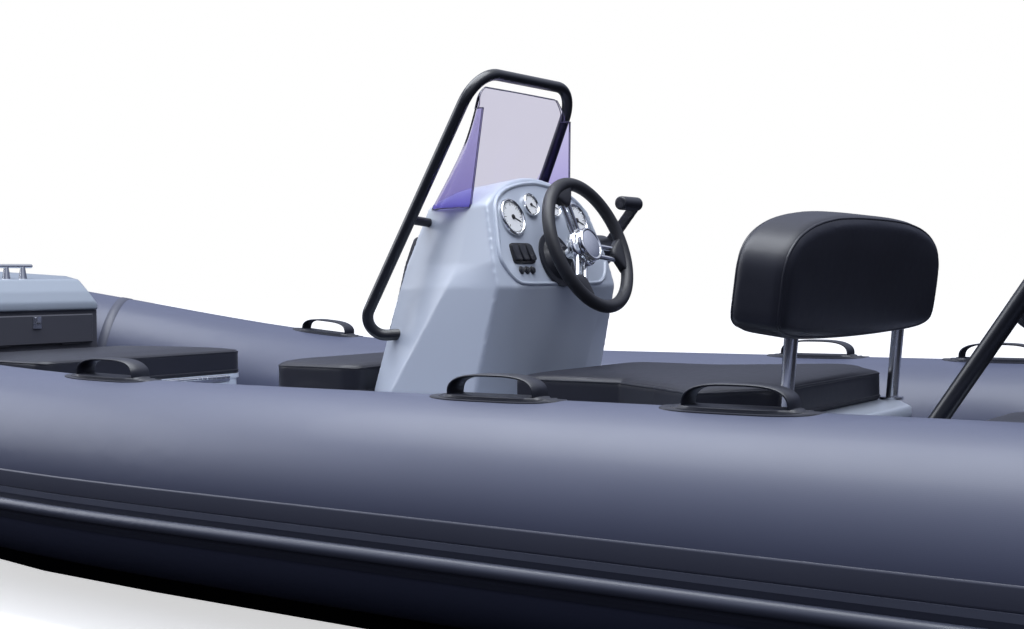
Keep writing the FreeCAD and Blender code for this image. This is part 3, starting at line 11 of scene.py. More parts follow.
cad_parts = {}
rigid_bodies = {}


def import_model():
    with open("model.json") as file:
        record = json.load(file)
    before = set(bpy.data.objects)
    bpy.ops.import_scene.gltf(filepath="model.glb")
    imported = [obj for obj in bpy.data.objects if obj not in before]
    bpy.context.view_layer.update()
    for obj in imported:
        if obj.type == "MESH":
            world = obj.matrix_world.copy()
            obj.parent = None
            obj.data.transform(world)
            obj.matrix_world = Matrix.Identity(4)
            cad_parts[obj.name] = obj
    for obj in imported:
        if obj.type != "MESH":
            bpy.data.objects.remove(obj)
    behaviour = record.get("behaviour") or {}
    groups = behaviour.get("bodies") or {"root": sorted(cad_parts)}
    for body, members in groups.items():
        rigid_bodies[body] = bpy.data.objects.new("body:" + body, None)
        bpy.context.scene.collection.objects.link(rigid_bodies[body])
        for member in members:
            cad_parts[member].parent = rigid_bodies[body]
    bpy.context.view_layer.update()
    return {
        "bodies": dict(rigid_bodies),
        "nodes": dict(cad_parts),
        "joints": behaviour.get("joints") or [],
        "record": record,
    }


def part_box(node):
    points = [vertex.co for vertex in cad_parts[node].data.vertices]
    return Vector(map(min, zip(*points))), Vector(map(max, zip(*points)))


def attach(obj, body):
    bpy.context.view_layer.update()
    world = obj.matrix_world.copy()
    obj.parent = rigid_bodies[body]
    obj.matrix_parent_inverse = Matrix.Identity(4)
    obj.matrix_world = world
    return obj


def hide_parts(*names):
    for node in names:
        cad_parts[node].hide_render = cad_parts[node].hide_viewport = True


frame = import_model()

nodes = frame["nodes"]
scene = bpy.context.scene
scene.view_settings.view_transform = "Standard"

# Camera: stands off the port quarter a little above the console's foot and looks
# forward across the boat. Place, direction and lens were solved from the photograph.
camera_place = Vector((-0.450, 2.907, 0.753))
camera_right = Vector((-0.8242, -0.5663, -0.0096))
camera_up = Vector((0.0063, -0.0261, 0.9996))
camera_back = camera_right.cross(camera_up)
lens_mm = 49.17
camera_data = bpy.data.cameras.new("camera")
camera_data.lens = lens_mm
camera_data.sensor_width = 36.0
camera_data.clip_start = 0.05
camera_data.clip_end = 200.0
camera = bpy.data.objects.new("camera", camera_data)
turn = Matrix((camera_right, camera_up, camera_back)).transposed()
camera.matrix_world = Matrix.Translation(camera_place) @ turn.to_4x4()
scene.collection.objects.link(camera)
scene.camera = camera


# Studio: a white floor at the waterline, a white surround that lights only from above, and
# soft boxes overhead, ahead and abeam. The floor looks white and keeps the boat's shadow.
class Value:
    """One socket of a shader. Arithmetic on it adds the nodes that work it out."""

    def __init__(self, paint, socket):
        self.paint = paint
        self.socket = socket

    def math(self, operation, first, second):
        return self.paint.node("Math", {"operation": operation}, {0: first, 1: second})

    def __add__(self, other):
        return self.math("ADD", self, other)

    def __radd__(self, other):
        return self.math("ADD", other, self)

    def __sub__(self, other):
        return self.math("SUBTRACT", self, other)

    def __rsub__(self, other):
        return self.math("SUBTRACT", other, self)

    def __mul__(self, other):
        return self.math("MULTIPLY", self, other)

    def __rmul__(self, other):
        return self.math("MULTIPLY", other, self)

    def __abs__(self):
        return self.math("ABSOLUTE", self, 0.0)

    def __gt__(self, other):
        return self.math("GREATER_THAN", self, other)

    def __lt__(self, other):
        return self.math("LESS_THAN", self, other)

    def either(self, other):
        return self.math("MAXIMUM", self, other)

    def wave(self, length):
        """From 0 to 1 and back, once for each length."""
        return self.math("SINE", self * (2 * math.pi / length), 0.0) * 0.5 + 0.5


class Paint:
    """A material, or the world, whose nodes are added one call at a time."""

    def __init__(self, name, tree=None):
        if tree is None:
            self.material = bpy.data.materials.new(name)
            self.material.use_nodes = True
            tree = self.material.node_tree
        self.tree = tree
        self.tree.nodes.clear()

    def node(self, kind, settings=None, values=None, out=0):
        made = self.tree.nodes.new("ShaderNode" + kind)
        for name, setting in (settings or {}).items():
            if name == "stops":
                ramp = made.color_ramp
                while len(ramp.elements) < len(setting):
                    ramp.elements.new(0.5)
                for element, (place, colour) in zip(ramp.elements, setting):
                    element.position = place
                    element.color = (*colour, 1.0)
            else:
                setattr(made, name, setting)
        for key, value in (values or {}).items():
            socket = made.inputs[key]
            if isinstance(value, Value):
                self.tree.links.new(value.socket, socket)
            elif hasattr(value, "__len__") and socket.type == "RGBA" and len(value) == 3:
                socket.default_value = (*value, 1.0)
            else:
                socket.default_value = value
        return Value(self, made.outputs[out]) if made.outputs else None

    def place(self):
        """Where a point of the piece is in the boat, in metres."""
        return self.node("TexCoord", out="Object")

    def axes(self):
        at = self.node("SeparateXYZ", {}, {0: self.place()}).socket.node
        return [Value(self, at.outputs[i]) for i in range(3)]

    def noise(self, size, detail=2.0, roughness=0.5, stretch=None):
        where = self.place()
        if stretch is not None:
            where = self.node("VectorMath", {"operation": "MULTIPLY"}, {0: where, 1: stretch})
        return self.node("TexNoise", {}, {
            "Vector": where, "Scale": 1.0 / size, "Detail": detail, "Roughness": roughness})

    def mix(self, share, first, second):
        made = self.tree.nodes.new("ShaderNodeMix")
        made.data_type = "RGBA"
        for socket, value in ((made.inputs[0], share), (made.inputs[6], first), (made.inputs[7], second)):
            if isinstance(value, Value):
                self.tree.links.new(value.socket, socket)
            else:
                socket.default_value = (*value, 1.0) if hasattr(value, "__len__") else value
        return Value(self, made.outputs[2])

    def bump(self, height, depth, strength=1.0, under=None):
        values = {"Height": height, "Distance": depth, "Strength": strength}
        if under is not None:
            values["Normal"] = under
        return self.node("Bump", {}, values)

    def surface(self, **values):
        """The finished Principled surface. Names use _ where the sockets have a space."""
        named = {key.replace("_", " "): value for key, value in values.items()}
        shader = self.node("BsdfPrincipled", {}, named)
        self.node("OutputMaterial", {}, {0: shader})
        return self.material


floor_reach = 40.0
floor_mesh = bpy.data.meshes.new("floor")
floor_mesh.from_pydata([(-floor_reach, -floor_reach, 0), (floor_reach, -floor_reach, 0),
                        (floor_reach, floor_reach, 0), (-floor_reach, floor_reach, 0)], [], [(0, 1, 2, 3)])
floor = bpy.data.objects.new("floor", floor_mesh)
scene.collection.objects.link(floor)
paint = Paint("floor_white")
seen = [paint.node("LightPath", out=name) for name in ("Is Camera Ray", "Is Transmission Ray")]
straight = seen[0].either(seen[1])
pale = paint.node("BsdfDiffuse", {}, {"Color": (0.93, 0.93, 0.94)})
dim = paint.node("BsdfDiffuse", {}, {"Color": (0.02, 0.02, 0.025)})
glow = paint.node("Emission", {}, {"Color": (1.0, 1.0, 1.0), "Strength": 0.62})
lifted = paint.node("AddShader", {}, {0: pale, 1: glow})
paint.node("OutputMaterial", {}, {0: paint.node("MixShader", {}, {0: straight, 1: dim, 2: lifted})})
floor_mesh.materials.append(paint.material)

world = bpy.data.worlds.new("studio")
world.use_nodes = True
scene.world = world
paint = Paint("studio", world.node_tree)
seen = [paint.node("LightPath", out=name) for name in ("Is Camera Ray", "Is Transmission Ray")]
seen = seen[0].either(seen[1])
aim = paint.node("TexCoord", out="Generated")
height = paint.node("SeparateXYZ", {}, {0: aim}, out="Z")
sky = paint.node("ValToRGB", {"stops": [
    (0.0, (0.01, 0.01, 0.014)), (0.48, (0.02, 0.02, 0.03)), (0.60, (0.14, 0.16, 0.25)),
    (0.75, (0.62, 0.67, 0.86)), (1.0, (0.94, 0.97, 1.0))]},
    {0: height * 0.5 + 0.5})
around = paint.node("Background", {}, {"Color": sky, "Strength": 0.85})
white = paint.node("Background", {}, {"Color": (1.0, 1.0, 1.0), "Strength": 1.0})
paint.node("OutputWorld", {}, {0: paint.node("MixShader", {}, {0: seen, 1: around, 2: white})})


def lamp(name, place, target, width, height, power, colour):
    data = bpy.data.lights.new(name, "AREA")
    data.shape = "RECTANGLE"
    data.size = width
    data.size_y = height
    data.energy = power
    data.color = colour
    made = bpy.data.objects.new(name, data)
    aim = Vector(target) - Vector(place)
    made.matrix_world = Matrix.Translation(place) @ aim.to_track_quat("-Z", "Y").to_matrix().to_4x4()
    scene.collection.objects.link(made)


lamp("overhead_box", (1.8, 0.6, 4.2), (1.8, 0.2, 0.0), 6.0, 3.0, 360.0, (0.90, 0.94, 1.0))
lamp("quarter_box", (-2.4, 3.8, 3.4), (1.2, 0.3, 0.6), 5.0, 3.0, 14.0, (0.92, 0.95, 1.0))
lamp("bow_box", (7.0, 2.2, 3.2), (1.8, 0.2, 0.6), 4.0, 3.0, 135.0, (0.92, 0.95, 1.0))


# Collar: coated fabric pulled tight by air and glued from panels. Narrow tapes are lapped
# over the joints, and a broad one runs above the rubbing strake all the way round.
def shown_smooth(mesh, degrees=30.0):
    """Smooth shading that keeps real corners; the CAD mesh itself stays as it is."""
    mesh.shade_smooth()
    mesh.set_sharp_from_angle(angle=math.radians(degrees))


def dress(names, material, smooth=30.0):
    for name in names.split():
        mesh = nodes[name].data
        mesh.materials.clear()
        mesh.materials.append(material)
        shown_smooth(mesh, smooth)


def add_piece(name, mesh, material, body="boat", stands_for=(), smooth=40.0):
    """A new object that rides on a body and takes the place of the nodes it stands for."""
    made = bpy.data.objects.new(name, mesh)
    scene.collection.objects.link(made)
    mesh.materials.clear()
    mesh.materials.append(material)
    shown_smooth(mesh, smooth)
    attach(made, body)
    if stands_for:
        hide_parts(*stands_for)
    return made


def turns_of(steps):
    """Angles once round, in even steps."""
    return [2 * math.pi * k / steps for k in range(steps)]


def mesh_of(shape):
    """Ends the work on a bmesh: outward normals and an ordinary mesh."""
    bmesh.ops.recalc_face_normals(shape, faces=shape.faces)
    mesh = bpy.data.meshes.new("shape")
    shape.to_mesh(mesh)
    shape.free()
    return mesh


def skin(shape, rows, closed_rows=False, closed_ring=False, caps=False):
    """Faces between rows of points of equal length, added to a bmesh."""
    made = [[shape.verts.new(point) for point in row] for row in rows]
    lanes = list(zip(made, made[1:]))
    if closed_ring:
        lanes.append((made[-1], made[0]))
    for near, far in lanes:
        count = len(near)
        for i in range(count if closed_rows else count - 1):
            j = (i + 1) % count
            shape.faces.new((near[i], near[j], far[j], far[i]))
    if caps:
        shape.faces.new(made[0])
        shape.faces.new(made[-1])
    return made


tube_radius = 0.2175
tube_offset = 0.775
tube_height = 0.315
straight_end = 2.6
nose_centre = 4.0
plan_power = 2.3
sheer_start = 1.65
sheer_rise = 0.253
sheer_power = 2.8


def collar_height(x):
    run = max(0.0, x - sheer_start) / (nose_centre - sheer_start)
    return tube_height + sheer_rise * run ** sheer_power


def collar_middle(turn):
    """Centre of the port tube, at this angle round the plan curve."""
    x = straight_end + (nose_centre - straight_end) * math.sin(turn) ** (2 / plan_power)
    return Vector((x, tube_offset * math.cos(turn), collar_height(x)))


def collar_line(start, side_steps=36, turn_steps=60):
    """The collar's centre from here on the port side, round the bow and back to starboard."""
    port = []
    for i in range(side_steps):
        x = start + (straight_end - start) * i / side_steps
        port.append(Vector((x, tube_offset, collar_height(x))))
    port += [collar_middle(math.pi / 2 * i / turn_steps) for i in range(turn_steps)]
    nose = [collar_middle(math.pi / 2)]
    return port + nose + [Vector((p.x, -p.y, p.z)) for p in reversed(port)]


def frames_along(line):
    """At each point the outward and the upward direction, square to the line."""
    made = []
    for i, point in enumerate(line):
        ahead = (line[min(i + 1, len(line) - 1)] - line[max(i - 1, 0)]).normalized()
        out = Vector((0, 0, 1)).cross(ahead).normalized()
        made.append((point, out, ahead.cross(out)))
    return made


def on_tube(frame, angle, stand):
    """A point on the collar, at this angle above the outward side and this far off the fabric."""
    point, out, up = frame
    return point + (out * math.cos(angle) + up * math.sin(angle)) * (tube_radius + stand)


tape_stand = 0.0016
tape_sink = 0.001            # a tape's edges end this far inside the fabric
tape_bevel = 0.002
tape_edge = 0.010            # radians over which a tape's edge thins out


def long_tape(frames, low, high, steps=8):
    shape = bmesh.new()
    between = [low + (high - low) * i / steps for i in range(1, steps)]
    angles = [low, low + tape_edge] + between + [high - tape_edge, high]
    stands = [-tape_sink] + [tape_stand] * (len(angles) - 2) + [-tape_sink]
    skin(shape, [[on_tube(frame, angle, stand) for angle, stand in zip(angles, stands)]
                 for frame in frames])
    return mesh_of(shape)


def ring_tape(middle, ahead, width, steps=96):
    """A lapped joint round the tube, at a point of its centre line."""
    out = Vector((0, 0, 1)).cross(ahead).normalized()
    up = ahead.cross(out)
    half = width / 2
    section = ((-half, -tape_sink), (-half + tape_bevel, tape_stand),
               (half - tape_bevel, tape_stand), (half, -tape_sink))
    shape = bmesh.new()
    rows = []
    for angle in turns_of(steps):
        across = out * math.cos(angle) + up * math.sin(angle)
        rows.append([middle + across * (tube_radius + stand) + ahead * along for along, stand in section])
    skin(shape, rows, closed_ring=True)
    return mesh_of(shape)


def fabric(name, dark, light):
    """Coated cloth: a fine weave under a satin coat, clouded and lightly scuffed."""
    paint = Paint(name)
    x, _, z = paint.axes()
    weave = x.wave(0.0024) * z.wave(0.0024) * 0.6 + paint.noise(0.0016, 1.0) * 0.4
    tone = paint.mix(paint.noise(0.35, 3.0), dark, light)
    scuff = paint.noise(0.05, 6.0, 0.7, (0.35, 1.0, 1.0))
    ripple = paint.bump(paint.noise(0.30, 2.0), 0.004, 0.08)
    return paint.surface(Base_Color=tone, Roughness=0.46 + (scuff - 0.5) * 0.08, Coat_Weight=0.03,
                         Normal=paint.bump(weave, 0.00012, 0.4, ripple))


tube_fabric = fabric("tube_fabric", (0.053, 0.061, 0.102), (0.064, 0.073, 0.122))
tape_fabric = fabric("tape_fabric", (0.045, 0.049, 0.073), (0.054, 0.059, 0.088))
dress("collar_port collar_bow collar_starboard", tube_fabric, 60.0)
collar_frames = frames_along(collar_line(-0.04))
band_low = -0.076            # the band's edges, in radians below and above the tube's outermost line
band_high = 0.104
add_piece("collar_band", long_tape(collar_frames, band_low, band_high),
          tape_fabric, smooth=60.0)
joint_turn = math.radians(48.0)
joint_step = 0.01
joint_width = 0.034
joints = []
ahead = (collar_middle(joint_turn + joint_step) - collar_middle(joint_turn - joint_step)).normalized()
joints.append((collar_middle(joint_turn), ahead))
joints.append((Vector((0.012, tube_offset, tube_height)), Vector((1, 0, 0))))
for i, (middle, ahead) in enumerate(joints):
    for side, side_name in ((1, "port"), (-1, "starboard")):
        flip = Vector((1, side, 1))
        add_piece("joint_tape_%s_%d" % (side_name, i + 1),
                  ring_tape(middle * flip, ahead * flip, joint_width),
                  tape_fabric, smooth=60.0)

# End cones' caps and rubbing strake: black rubber mouldings glued to the collar.
paint = Paint("trim_rubber")
fine = paint.noise(0.004, 4.0)
trim_rubber = paint.surface(
    Base_Color=paint.mix(paint.noise(0.2, 3.0), (0.042, 0.047, 0.070), (0.056, 0.062, 0.090)),
    Roughness=0.40 + (paint.noise(0.03, 5.0) - 0.5) * 0.12, Normal=paint.bump(fine, 0.0002, 0.4))
dress("cone_caps rubbing_strake", trim_rubber)

# Grab handles: each a broad moulded strap arched over a plinth on a lapped patch. Four are
# glued on top of the tube on each side.
handle_places = (0.556, 1.052, 2.14, 2.88)
patch_half_length = 0.146
patch_half_angle = math.radians(12.5)
handle_rings = (
    # share of the patch's outline, and height above the fabric
    (1.0, -0.0008), (0.985, 0.0018), (0.86, 0.0020), (0.85, 0.0036), (0.83, 0.0036), (0.82, 0.0022),
    (0.77, 0.0024), (0.745, 0.0062), (0.715, 0.0068), (0.45, 0.0068), (0.15, 0.0068))
outline_steps = 72
outline_power = 3.4
strap_half = 0.099
strap_rise = 0.0455
strap_root = 0.006
strap_half_width = 0.0195
strap_thickness = 0.0048
strap_power = 3.0
strap_steps = 36
strap_section = (
    # across in half widths, and down in thicknesses
    (-1.0, 0.3), (-0.9, 0.0), (0.9, 0.0), (1.0, 0.3), (1.0, 0.7), (0.9, 1.0), (-0.9, 1.0), (-1.0, 0.7))


def collar_frame(x, side):
    """Centre, outward and upward directions of the collar beside this place."""
    def centre(at):
        run = min(1.0, max(0.0, at - straight_end) / (nose_centre - straight_end))
        return Vector((at, tube_offset * math.sqrt(1.0 - run ** plan_power), collar_height(at)))
    step = 0.001
    ahead = (centre(x + step) - centre(x - step)).normalized()
    out = Vector((0, 0, 1)).cross(ahead).normalized()
    flip = Vector((1, side, 1))
    return centre(x) * flip, out * flip, ahead.cross(out) * flip


def sleeve_point(x, side, along, angle, stand):
    """On the top of the tube: this far along it from a place, and round it from its highest line."""
    point, out, up = collar_frame(x + along, side)
    return point + (up * math.cos(angle) + out * math.sin(angle)) * (tube_radius + stand)


def power_curve(angle, power):
    """A rounded oblong's outline from -1 to 1: 2 gives a circle, more gives squarer corners."""
    across, up = math.cos(angle), math.sin(angle)
    return (math.copysign(abs(across) ** (2 / power), across), math.copysign(abs(up) ** (2 / power), up))


def handle_patch(shape, x, side):
    rows = []
    for share, stand in handle_rings:
        row = []
        for turn in turns_of(outline_steps):
            along, round_it = power_curve(turn, outline_power)
            row.append(sleeve_point(x, side, along * share * patch_half_length,
                                    round_it * share * patch_half_angle, stand))
        rows.append(row)
    made = skin(shape, rows, closed_rows=True)
    shape.faces.new(made[-1])


def handle_strap(shape, x, side):
    rows = []
    for i in range(strap_steps + 1):
        turn = math.pi * i / strap_steps
        along, rise = power_curve(turn, strap_power)
        ends = 1.0 + 0.28 * abs(along) ** 8
        row = []
        for across, down in strap_section:
            inside = strap_thickness * down
            stand = strap_root + (strap_rise - strap_root - inside) * max(rise, 0.0)
            width = across * strap_half_width * ends / tube_radius
            row.append(sleeve_point(x, side, along * (strap_half - inside), width, stand))
        rows.append(row)
    skin(shape, rows, closed_rows=True)


paint = Paint("handle_rubber")
grip = paint.noise(0.0022, 2.0)
handle_rubber = paint.surface(
    Base_Color=paint.mix(paint.noise(0.05, 3.0), (0.011, 0.012, 0.019), (0.018, 0.020, 0.030)),
    Roughness=0.34 + paint.noise(0.012, 4.0) * 0.12, Specular_IOR_Level=0.40,
    Normal=paint.bump(grip, 0.00015, 0.5))
for side, side_name in ((1, "port"), (-1, "starboard")):
    shape = bmesh.new()
    for place in handle_places:
        handle_patch(shape, place, side)
        handle_strap(shape, place, side)
    add_piece("grab_handles_" + side_name, mesh_of(shape), handle_rubber,
              stands_for=("handles_" + side_name,), smooth=50.0)

# Hull: black gelcoat from a polished mould, with its strakes and keel moulded in.
paint = Paint("hull_black")
hull_black = paint.surface(
    Base_Color=paint.mix(paint.noise(0.5, 2.0), (0.008, 0.008, 0.010), (0.013, 0.013, 0.015)),
    Roughness=0.18 + paint.noise(0.04, 5.0) * 0.06, Coat_Weight=0.3,
    Normal=paint.bump(paint.noise(0.12, 2.0), 0.0015, 0.06))
dress("hull", hull_black, 20.0)

# Sole and transom: pale grey gelcoat. The sole has a moulded non-skid pattern of small
# diamonds, kept clear of its edges.
gel_dark = (0.395, 0.437, 0.515)
gel_light = (0.420, 0.460, 0.545)
paint = Paint("nonskid_gelcoat")
x, y, _ = paint.axes()
diamond_pitch = 0.012
diamonds = (x + y).wave(diamond_pitch) * (x - y).wave(diamond_pitch)
field_half_width = 0.52
field_aft = 0.30
field = (abs(y) < field_half_width) * (x > field_aft)
nonskid = paint.surface(
    Base_Color=paint.mix(paint.noise(0.4, 3.0), gel_dark, gel_light),
    Roughness=0.34 + field * 0.18 + paint.noise(0.03, 4.0) * 0.06,
    Normal=paint.bump(diamonds * field, 0.0006, 0.8))
dress("sole", nonskid)


def gelcoat(name, dark, light):
    paint = Paint(name)
    ripple = paint.bump(paint.noise(0.16, 1.0), 0.001, 0.03)
    return paint.surface(
        Base_Color=paint.mix(paint.noise(0.6, 1.0), dark, light),
        Roughness=0.30 + paint.noise(0.12, 1.0) * 0.04, Coat_Weight=0.12,
        Normal=ripple)


moulded_grey = gelcoat("moulded_grey", gel_dark, gel_light)
dress("transom", moulded_grey)


# Bow pod: the moulded step over the bow, the dark bulkhead under it, and the door that
# drops open on its hinge. Mouldings like the step have generous radii at every edge.
def copied(node):
    made = nodes[node].data.copy()
    made.name = "copy"
    return made


def evened(mesh, voxel, smooth):
    """The same form in even small faces that lie on it, its edges then worn round by smoothing."""
    true_form = bpy.data.objects.new("true_form", mesh.copy())
    worker = bpy.data.objects.new("worker", mesh)
    scene.collection.objects.link(true_form)
    scene.collection.objects.link(worker)
    remesh = worker.modifiers.new("remesh", "REMESH")
    remesh.mode = "VOXEL"
    remesh.voxel_size = voxel
    lay = worker.modifiers.new("lay", "SHRINKWRAP")
    lay.target = true_form
    rounding = worker.modifiers.new("rounding", "SMOOTH")
    rounding.iterations = smooth
    rounding.factor = 0.5
    result = bpy.data.meshes.new_from_object(worker.evaluated_get(bpy.context.evaluated_depsgraph_get()))
    bpy.data.objects.remove(worker)
    bpy.data.objects.remove(true_form)
    return result


def moulding(node, material, voxel, smooth):
    mesh = evened(copied(node), voxel, smooth)
    return add_piece(node + "_moulding", mesh, material, stands_for=(node,), smooth=180.0)


step_grey = gelcoat("step_grey", (0.22, 0.25, 0.30), (0.25, 0.285, 0.34))
moulding("bow_step", step_grey, 0.006, 4)
paint = Paint("dark_panel")
dark_panel = paint.surface(
    Base_Color=paint.mix(paint.noise(0.3, 3.0), (0.038, 0.039, 0.050), (0.052, 0.053, 0.066)),
    Roughness=0.36 + paint.noise(0.02, 4.0) * 0.10, Normal=paint.bump(paint.noise(0.003, 3.0), 0.0002, 0.3))
dress("bow_bulkhead locker_door", dark_panel)
paint = Paint("stainless")
stainless = paint.surface(
    Base_Color=paint.mix(paint.noise(0.02, 4.0), (0.62, 0.63, 0.66), (0.74, 0.75, 0.77)), Metallic=1.0,
    Roughness=0.12 + paint.noise(0.01, 5.0, 0.6, (1.0, 1.0, 6.0)) * 0.12)
dress("bow_cleat door_latch bow_eye transom_eyes backrest_posts", stainless)

# Lockers and front seat: open-topped grey boxes with lids on stainless hinges.
dress("front_seat_box front_seat_lid bow_locker bow_lid", moulded_grey, 25.0)


# Cushions: black vinyl drawn tight over foam and welded along piped seams. Each starts as
# its own solid, slightly smaller, and swells under pressure until its cap holds it.
paint = Paint("vinyl")
grain = paint.node("TexVoronoi", {"feature": "DISTANCE_TO_EDGE"}, {"Vector": paint.place(), "Scale": 420.0})
vinyl = paint.surface(
    Base_Color=paint.mix(paint.noise(0.2, 3.0), (0.010, 0.011, 0.017), (0.017, 0.018, 0.027)),
    Roughness=0.36 + paint.noise(0.02, 4.0) * 0.10,
    Specular_IOR_Level=0.36,
    Normal=paint.bump(grain, 0.0003, 0.25, paint.bump(paint.noise(0.10, 1.0), 0.001, 0.10)))
piping_radius = 0.0032
piping_sink = 0.0008
piping_above_base = 0.010
piping_below_top = 0.008
pad_shrink = 0.001
pad_voxel = 0.006            # faces of the finished pad; the cloth runs on coarser ones
pad_pressure = 4.0
pad_cap = 0.010              # no point swells further than this
pad_bend = 4.0
pad_frames = 20
eased_turns = 24


def eased(mesh, moves, turns):
    """Each point's move averaged with its neighbours', over and over."""
    ends = np.empty(len(mesh.edges) * 2, dtype=np.int64)
    mesh.edges.foreach_get("vertices", ends)
    first, second = ends[::2], ends[1::2]
    count = np.bincount(ends, minlength=len(moves))[:, None]
    for turn in range(turns):
        total = np.zeros_like(moves)
        np.add.at(total, first, moves[second])
        np.add.at(total, second, moves[first])
        moves = (moves + total / count) / 2
    return moves


def drawn_in(mesh, flat_base):
    """Sinks every point a little below the surface; a flat base stays on its seat."""
    base = min(v.co.z for v in mesh.vertices)
    for vertex, normal in zip(mesh.vertices, [v.normal.copy() for v in mesh.vertices]):
        vertex.co -= normal * pad_shrink
        if flat_base and normal.z < -0.7:
            vertex.co.z = base
    return base


def pressed_out(start, base, voxel, cap, flat_base):
    """How far cloth pressure moves each point, evened out and no further than the cap."""
    resting = np.array([v.co for v in start.vertices])
    worker = bpy.data.objects.new("worker", start)
    scene.collection.objects.link(worker)
    cloth = worker.modifiers.new("cloth", "CLOTH")
    cloth.settings.use_pressure = True
    cloth.settings.uniform_pressure_force = pad_pressure
    cloth.settings.effector_weights.gravity = 0.0
    cloth.settings.bending_stiffness = pad_bend
    if flat_base:
        held = worker.vertex_groups.new(name="held")
        held.add([i for i, co in enumerate(resting) if co[2] < base + voxel], 1.0, "REPLACE")
        cloth.settings.vertex_group_mass = "held"
    for frame_number in range(1, pad_frames + 1):
        scene.frame_set(frame_number)
    result = bpy.data.meshes.new_from_object(worker.evaluated_get(bpy.context.evaluated_depsgraph_get()))
    scene.frame_set(1)
    moves = np.array([v.co for v in result.vertices]) - resting
    bpy.data.objects.remove(worker)
    far = np.maximum(np.linalg.norm(moves, axis=1, keepdims=True), 1e-9)
    return resting, eased(start, moves * np.minimum(1.0, cap / far), eased_turns)


def swollen(mesh, voxel, cap, flat_base):
    """The pad's form in fine faces, filled out as far as a coarser copy of it swells as cloth."""
    fine = evened(mesh.copy(), pad_voxel, 2)
    base = drawn_in(fine, flat_base)
    start = evened(mesh, voxel, 3)
    drawn_in(start, flat_base)
    resting, moves = pressed_out(start, base, voxel, cap, flat_base)
    tree = KDTree(len(resting))
    for i, point in enumerate(resting):
        tree.insert(point, i)
    tree.balance()
    outward = [v.normal.copy() for v in fine.vertices]
    for vertex, normal in zip(fine.vertices, outward):
        near = tree.find_n(vertex.co, 4)
        weights = [1.0 / (distance + voxel / 8) for place, index, distance in near]
        moved = [moves[index] * weight for (place, index, distance), weight in zip(near, weights)]
        move = sum(moved) / sum(weights)
        vertex.co += normal * max(0.0, normal.dot(Vector(move)))
        if flat_base:
            vertex.co.z = max(vertex.co.z, base)
    return fine


def pad(node, voxel=0.012, flat_base=True, body="boat"):
    mesh = swollen(copied(node), voxel, pad_cap, flat_base)
    made = add_piece(node + "_pad", mesh, vinyl, body, (node,), 180.0)
    return made


def seam(name, pads, loops, body="boat"):
    """Piping: a thin cord laid on the pad's own surface along each loop of points."""
    surface = BVHTree.FromObject(pads, bpy.context.evaluated_depsgraph_get())
    shape = bmesh.new()
    for loop in loops:
        line = []
        for point in loop:
            where, normal, index, distance = surface.find_nearest(point)
            line.append(where - normal * piping_sink)
        rows = []
        count = len(line)
        for i in range(count):
            ahead = (line[(i + 1) % count] - line[i - 1]).normalized()
            side = ahead.cross(Vector((0.12, 0.05, 0.99))).normalized()
            up = side.cross(ahead)
            rows.append([line[i] + (side * math.cos(turn) + up * math.sin(turn)) * piping_radius
                         for turn in turns_of(8)])
        skin(shape, rows, closed_rows=True, closed_ring=True)
    return add_piece(name, mesh_of(shape), vinyl, body, smooth=60.0)


def rounded_loop(corners, radius, z, steps=8, spacing=0.012):
    """A closed loop round the corners, each turned with this radius, at one height."""
    points = []
    count = len(corners)
    for i in range(count):
        before, here, after = Vector(corners[i - 1]), Vector(corners[i]), Vector(corners[(i + 1) % count])
        back = (before - here).normalized()
        on = (after - here).normalized()
        reach = radius / math.tan(back.angle(on) / 2)
        first, last = here + back * reach, here + on * reach
        for k in range(steps + 1):
            share = k / steps
            mid = first.lerp(here, share).lerp(here.lerp(last, share), share)
            points.append(mid)
    loop = []
    for first, second in zip(points, points[1:] + points[:1]):
        parts = max(1, round((second - first).length / spacing))
        loop += [first.lerp(second, k / parts) for k in range(parts)]
    return [Vector((p.x, p.y, z)) for p in loop]


def mirrored_corners(port):
    return list(port) + [(x, -y) for x, y in reversed(port)]


def pipings(corners, radius, low, high, below_top=piping_below_top):
    """Two loops round a cushion, a little above its base and a little below its top."""
    return [rounded_loop(corners, radius, z) for z in (low[2] + piping_above_base, high[2] - below_top)]


low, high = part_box("bow_cushion")
bow_pad = pad("bow_cushion", body="bow_hatch")
bow_pad_front_half = 0.336
corners = mirrored_corners([(low[0], high[1]), (high[0], bow_pad_front_half)])
bow_pad_corner = 0.046
seam("bow_cushion_piping", bow_pad, pipings(corners, bow_pad_corner, low, high), "bow_hatch")
low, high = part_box("front_seat_cushion")
seat_pad = pad("front_seat_cushion", voxel=0.010, body="front_lid")
seat_pad_taper = 0.012
corners = mirrored_corners([(low[0], high[1]), (high[0], high[1] - seat_pad_taper)])
seat_pad_corner = 0.050
seam("front_seat_piping", seat_pad, pipings(corners, seat_pad_corner, low, high), "front_lid")

# Lid hinges: stainless knuckles on each lid's axis, and leaves screwed to the lockers. The
# front seat has a pair of short ones, and the bow hatch one long strip.
knuckle_length = 0.020
knuckle_radius = 0.0058
knuckle_gap = 0.0008
leaf_thickness = 0.0016


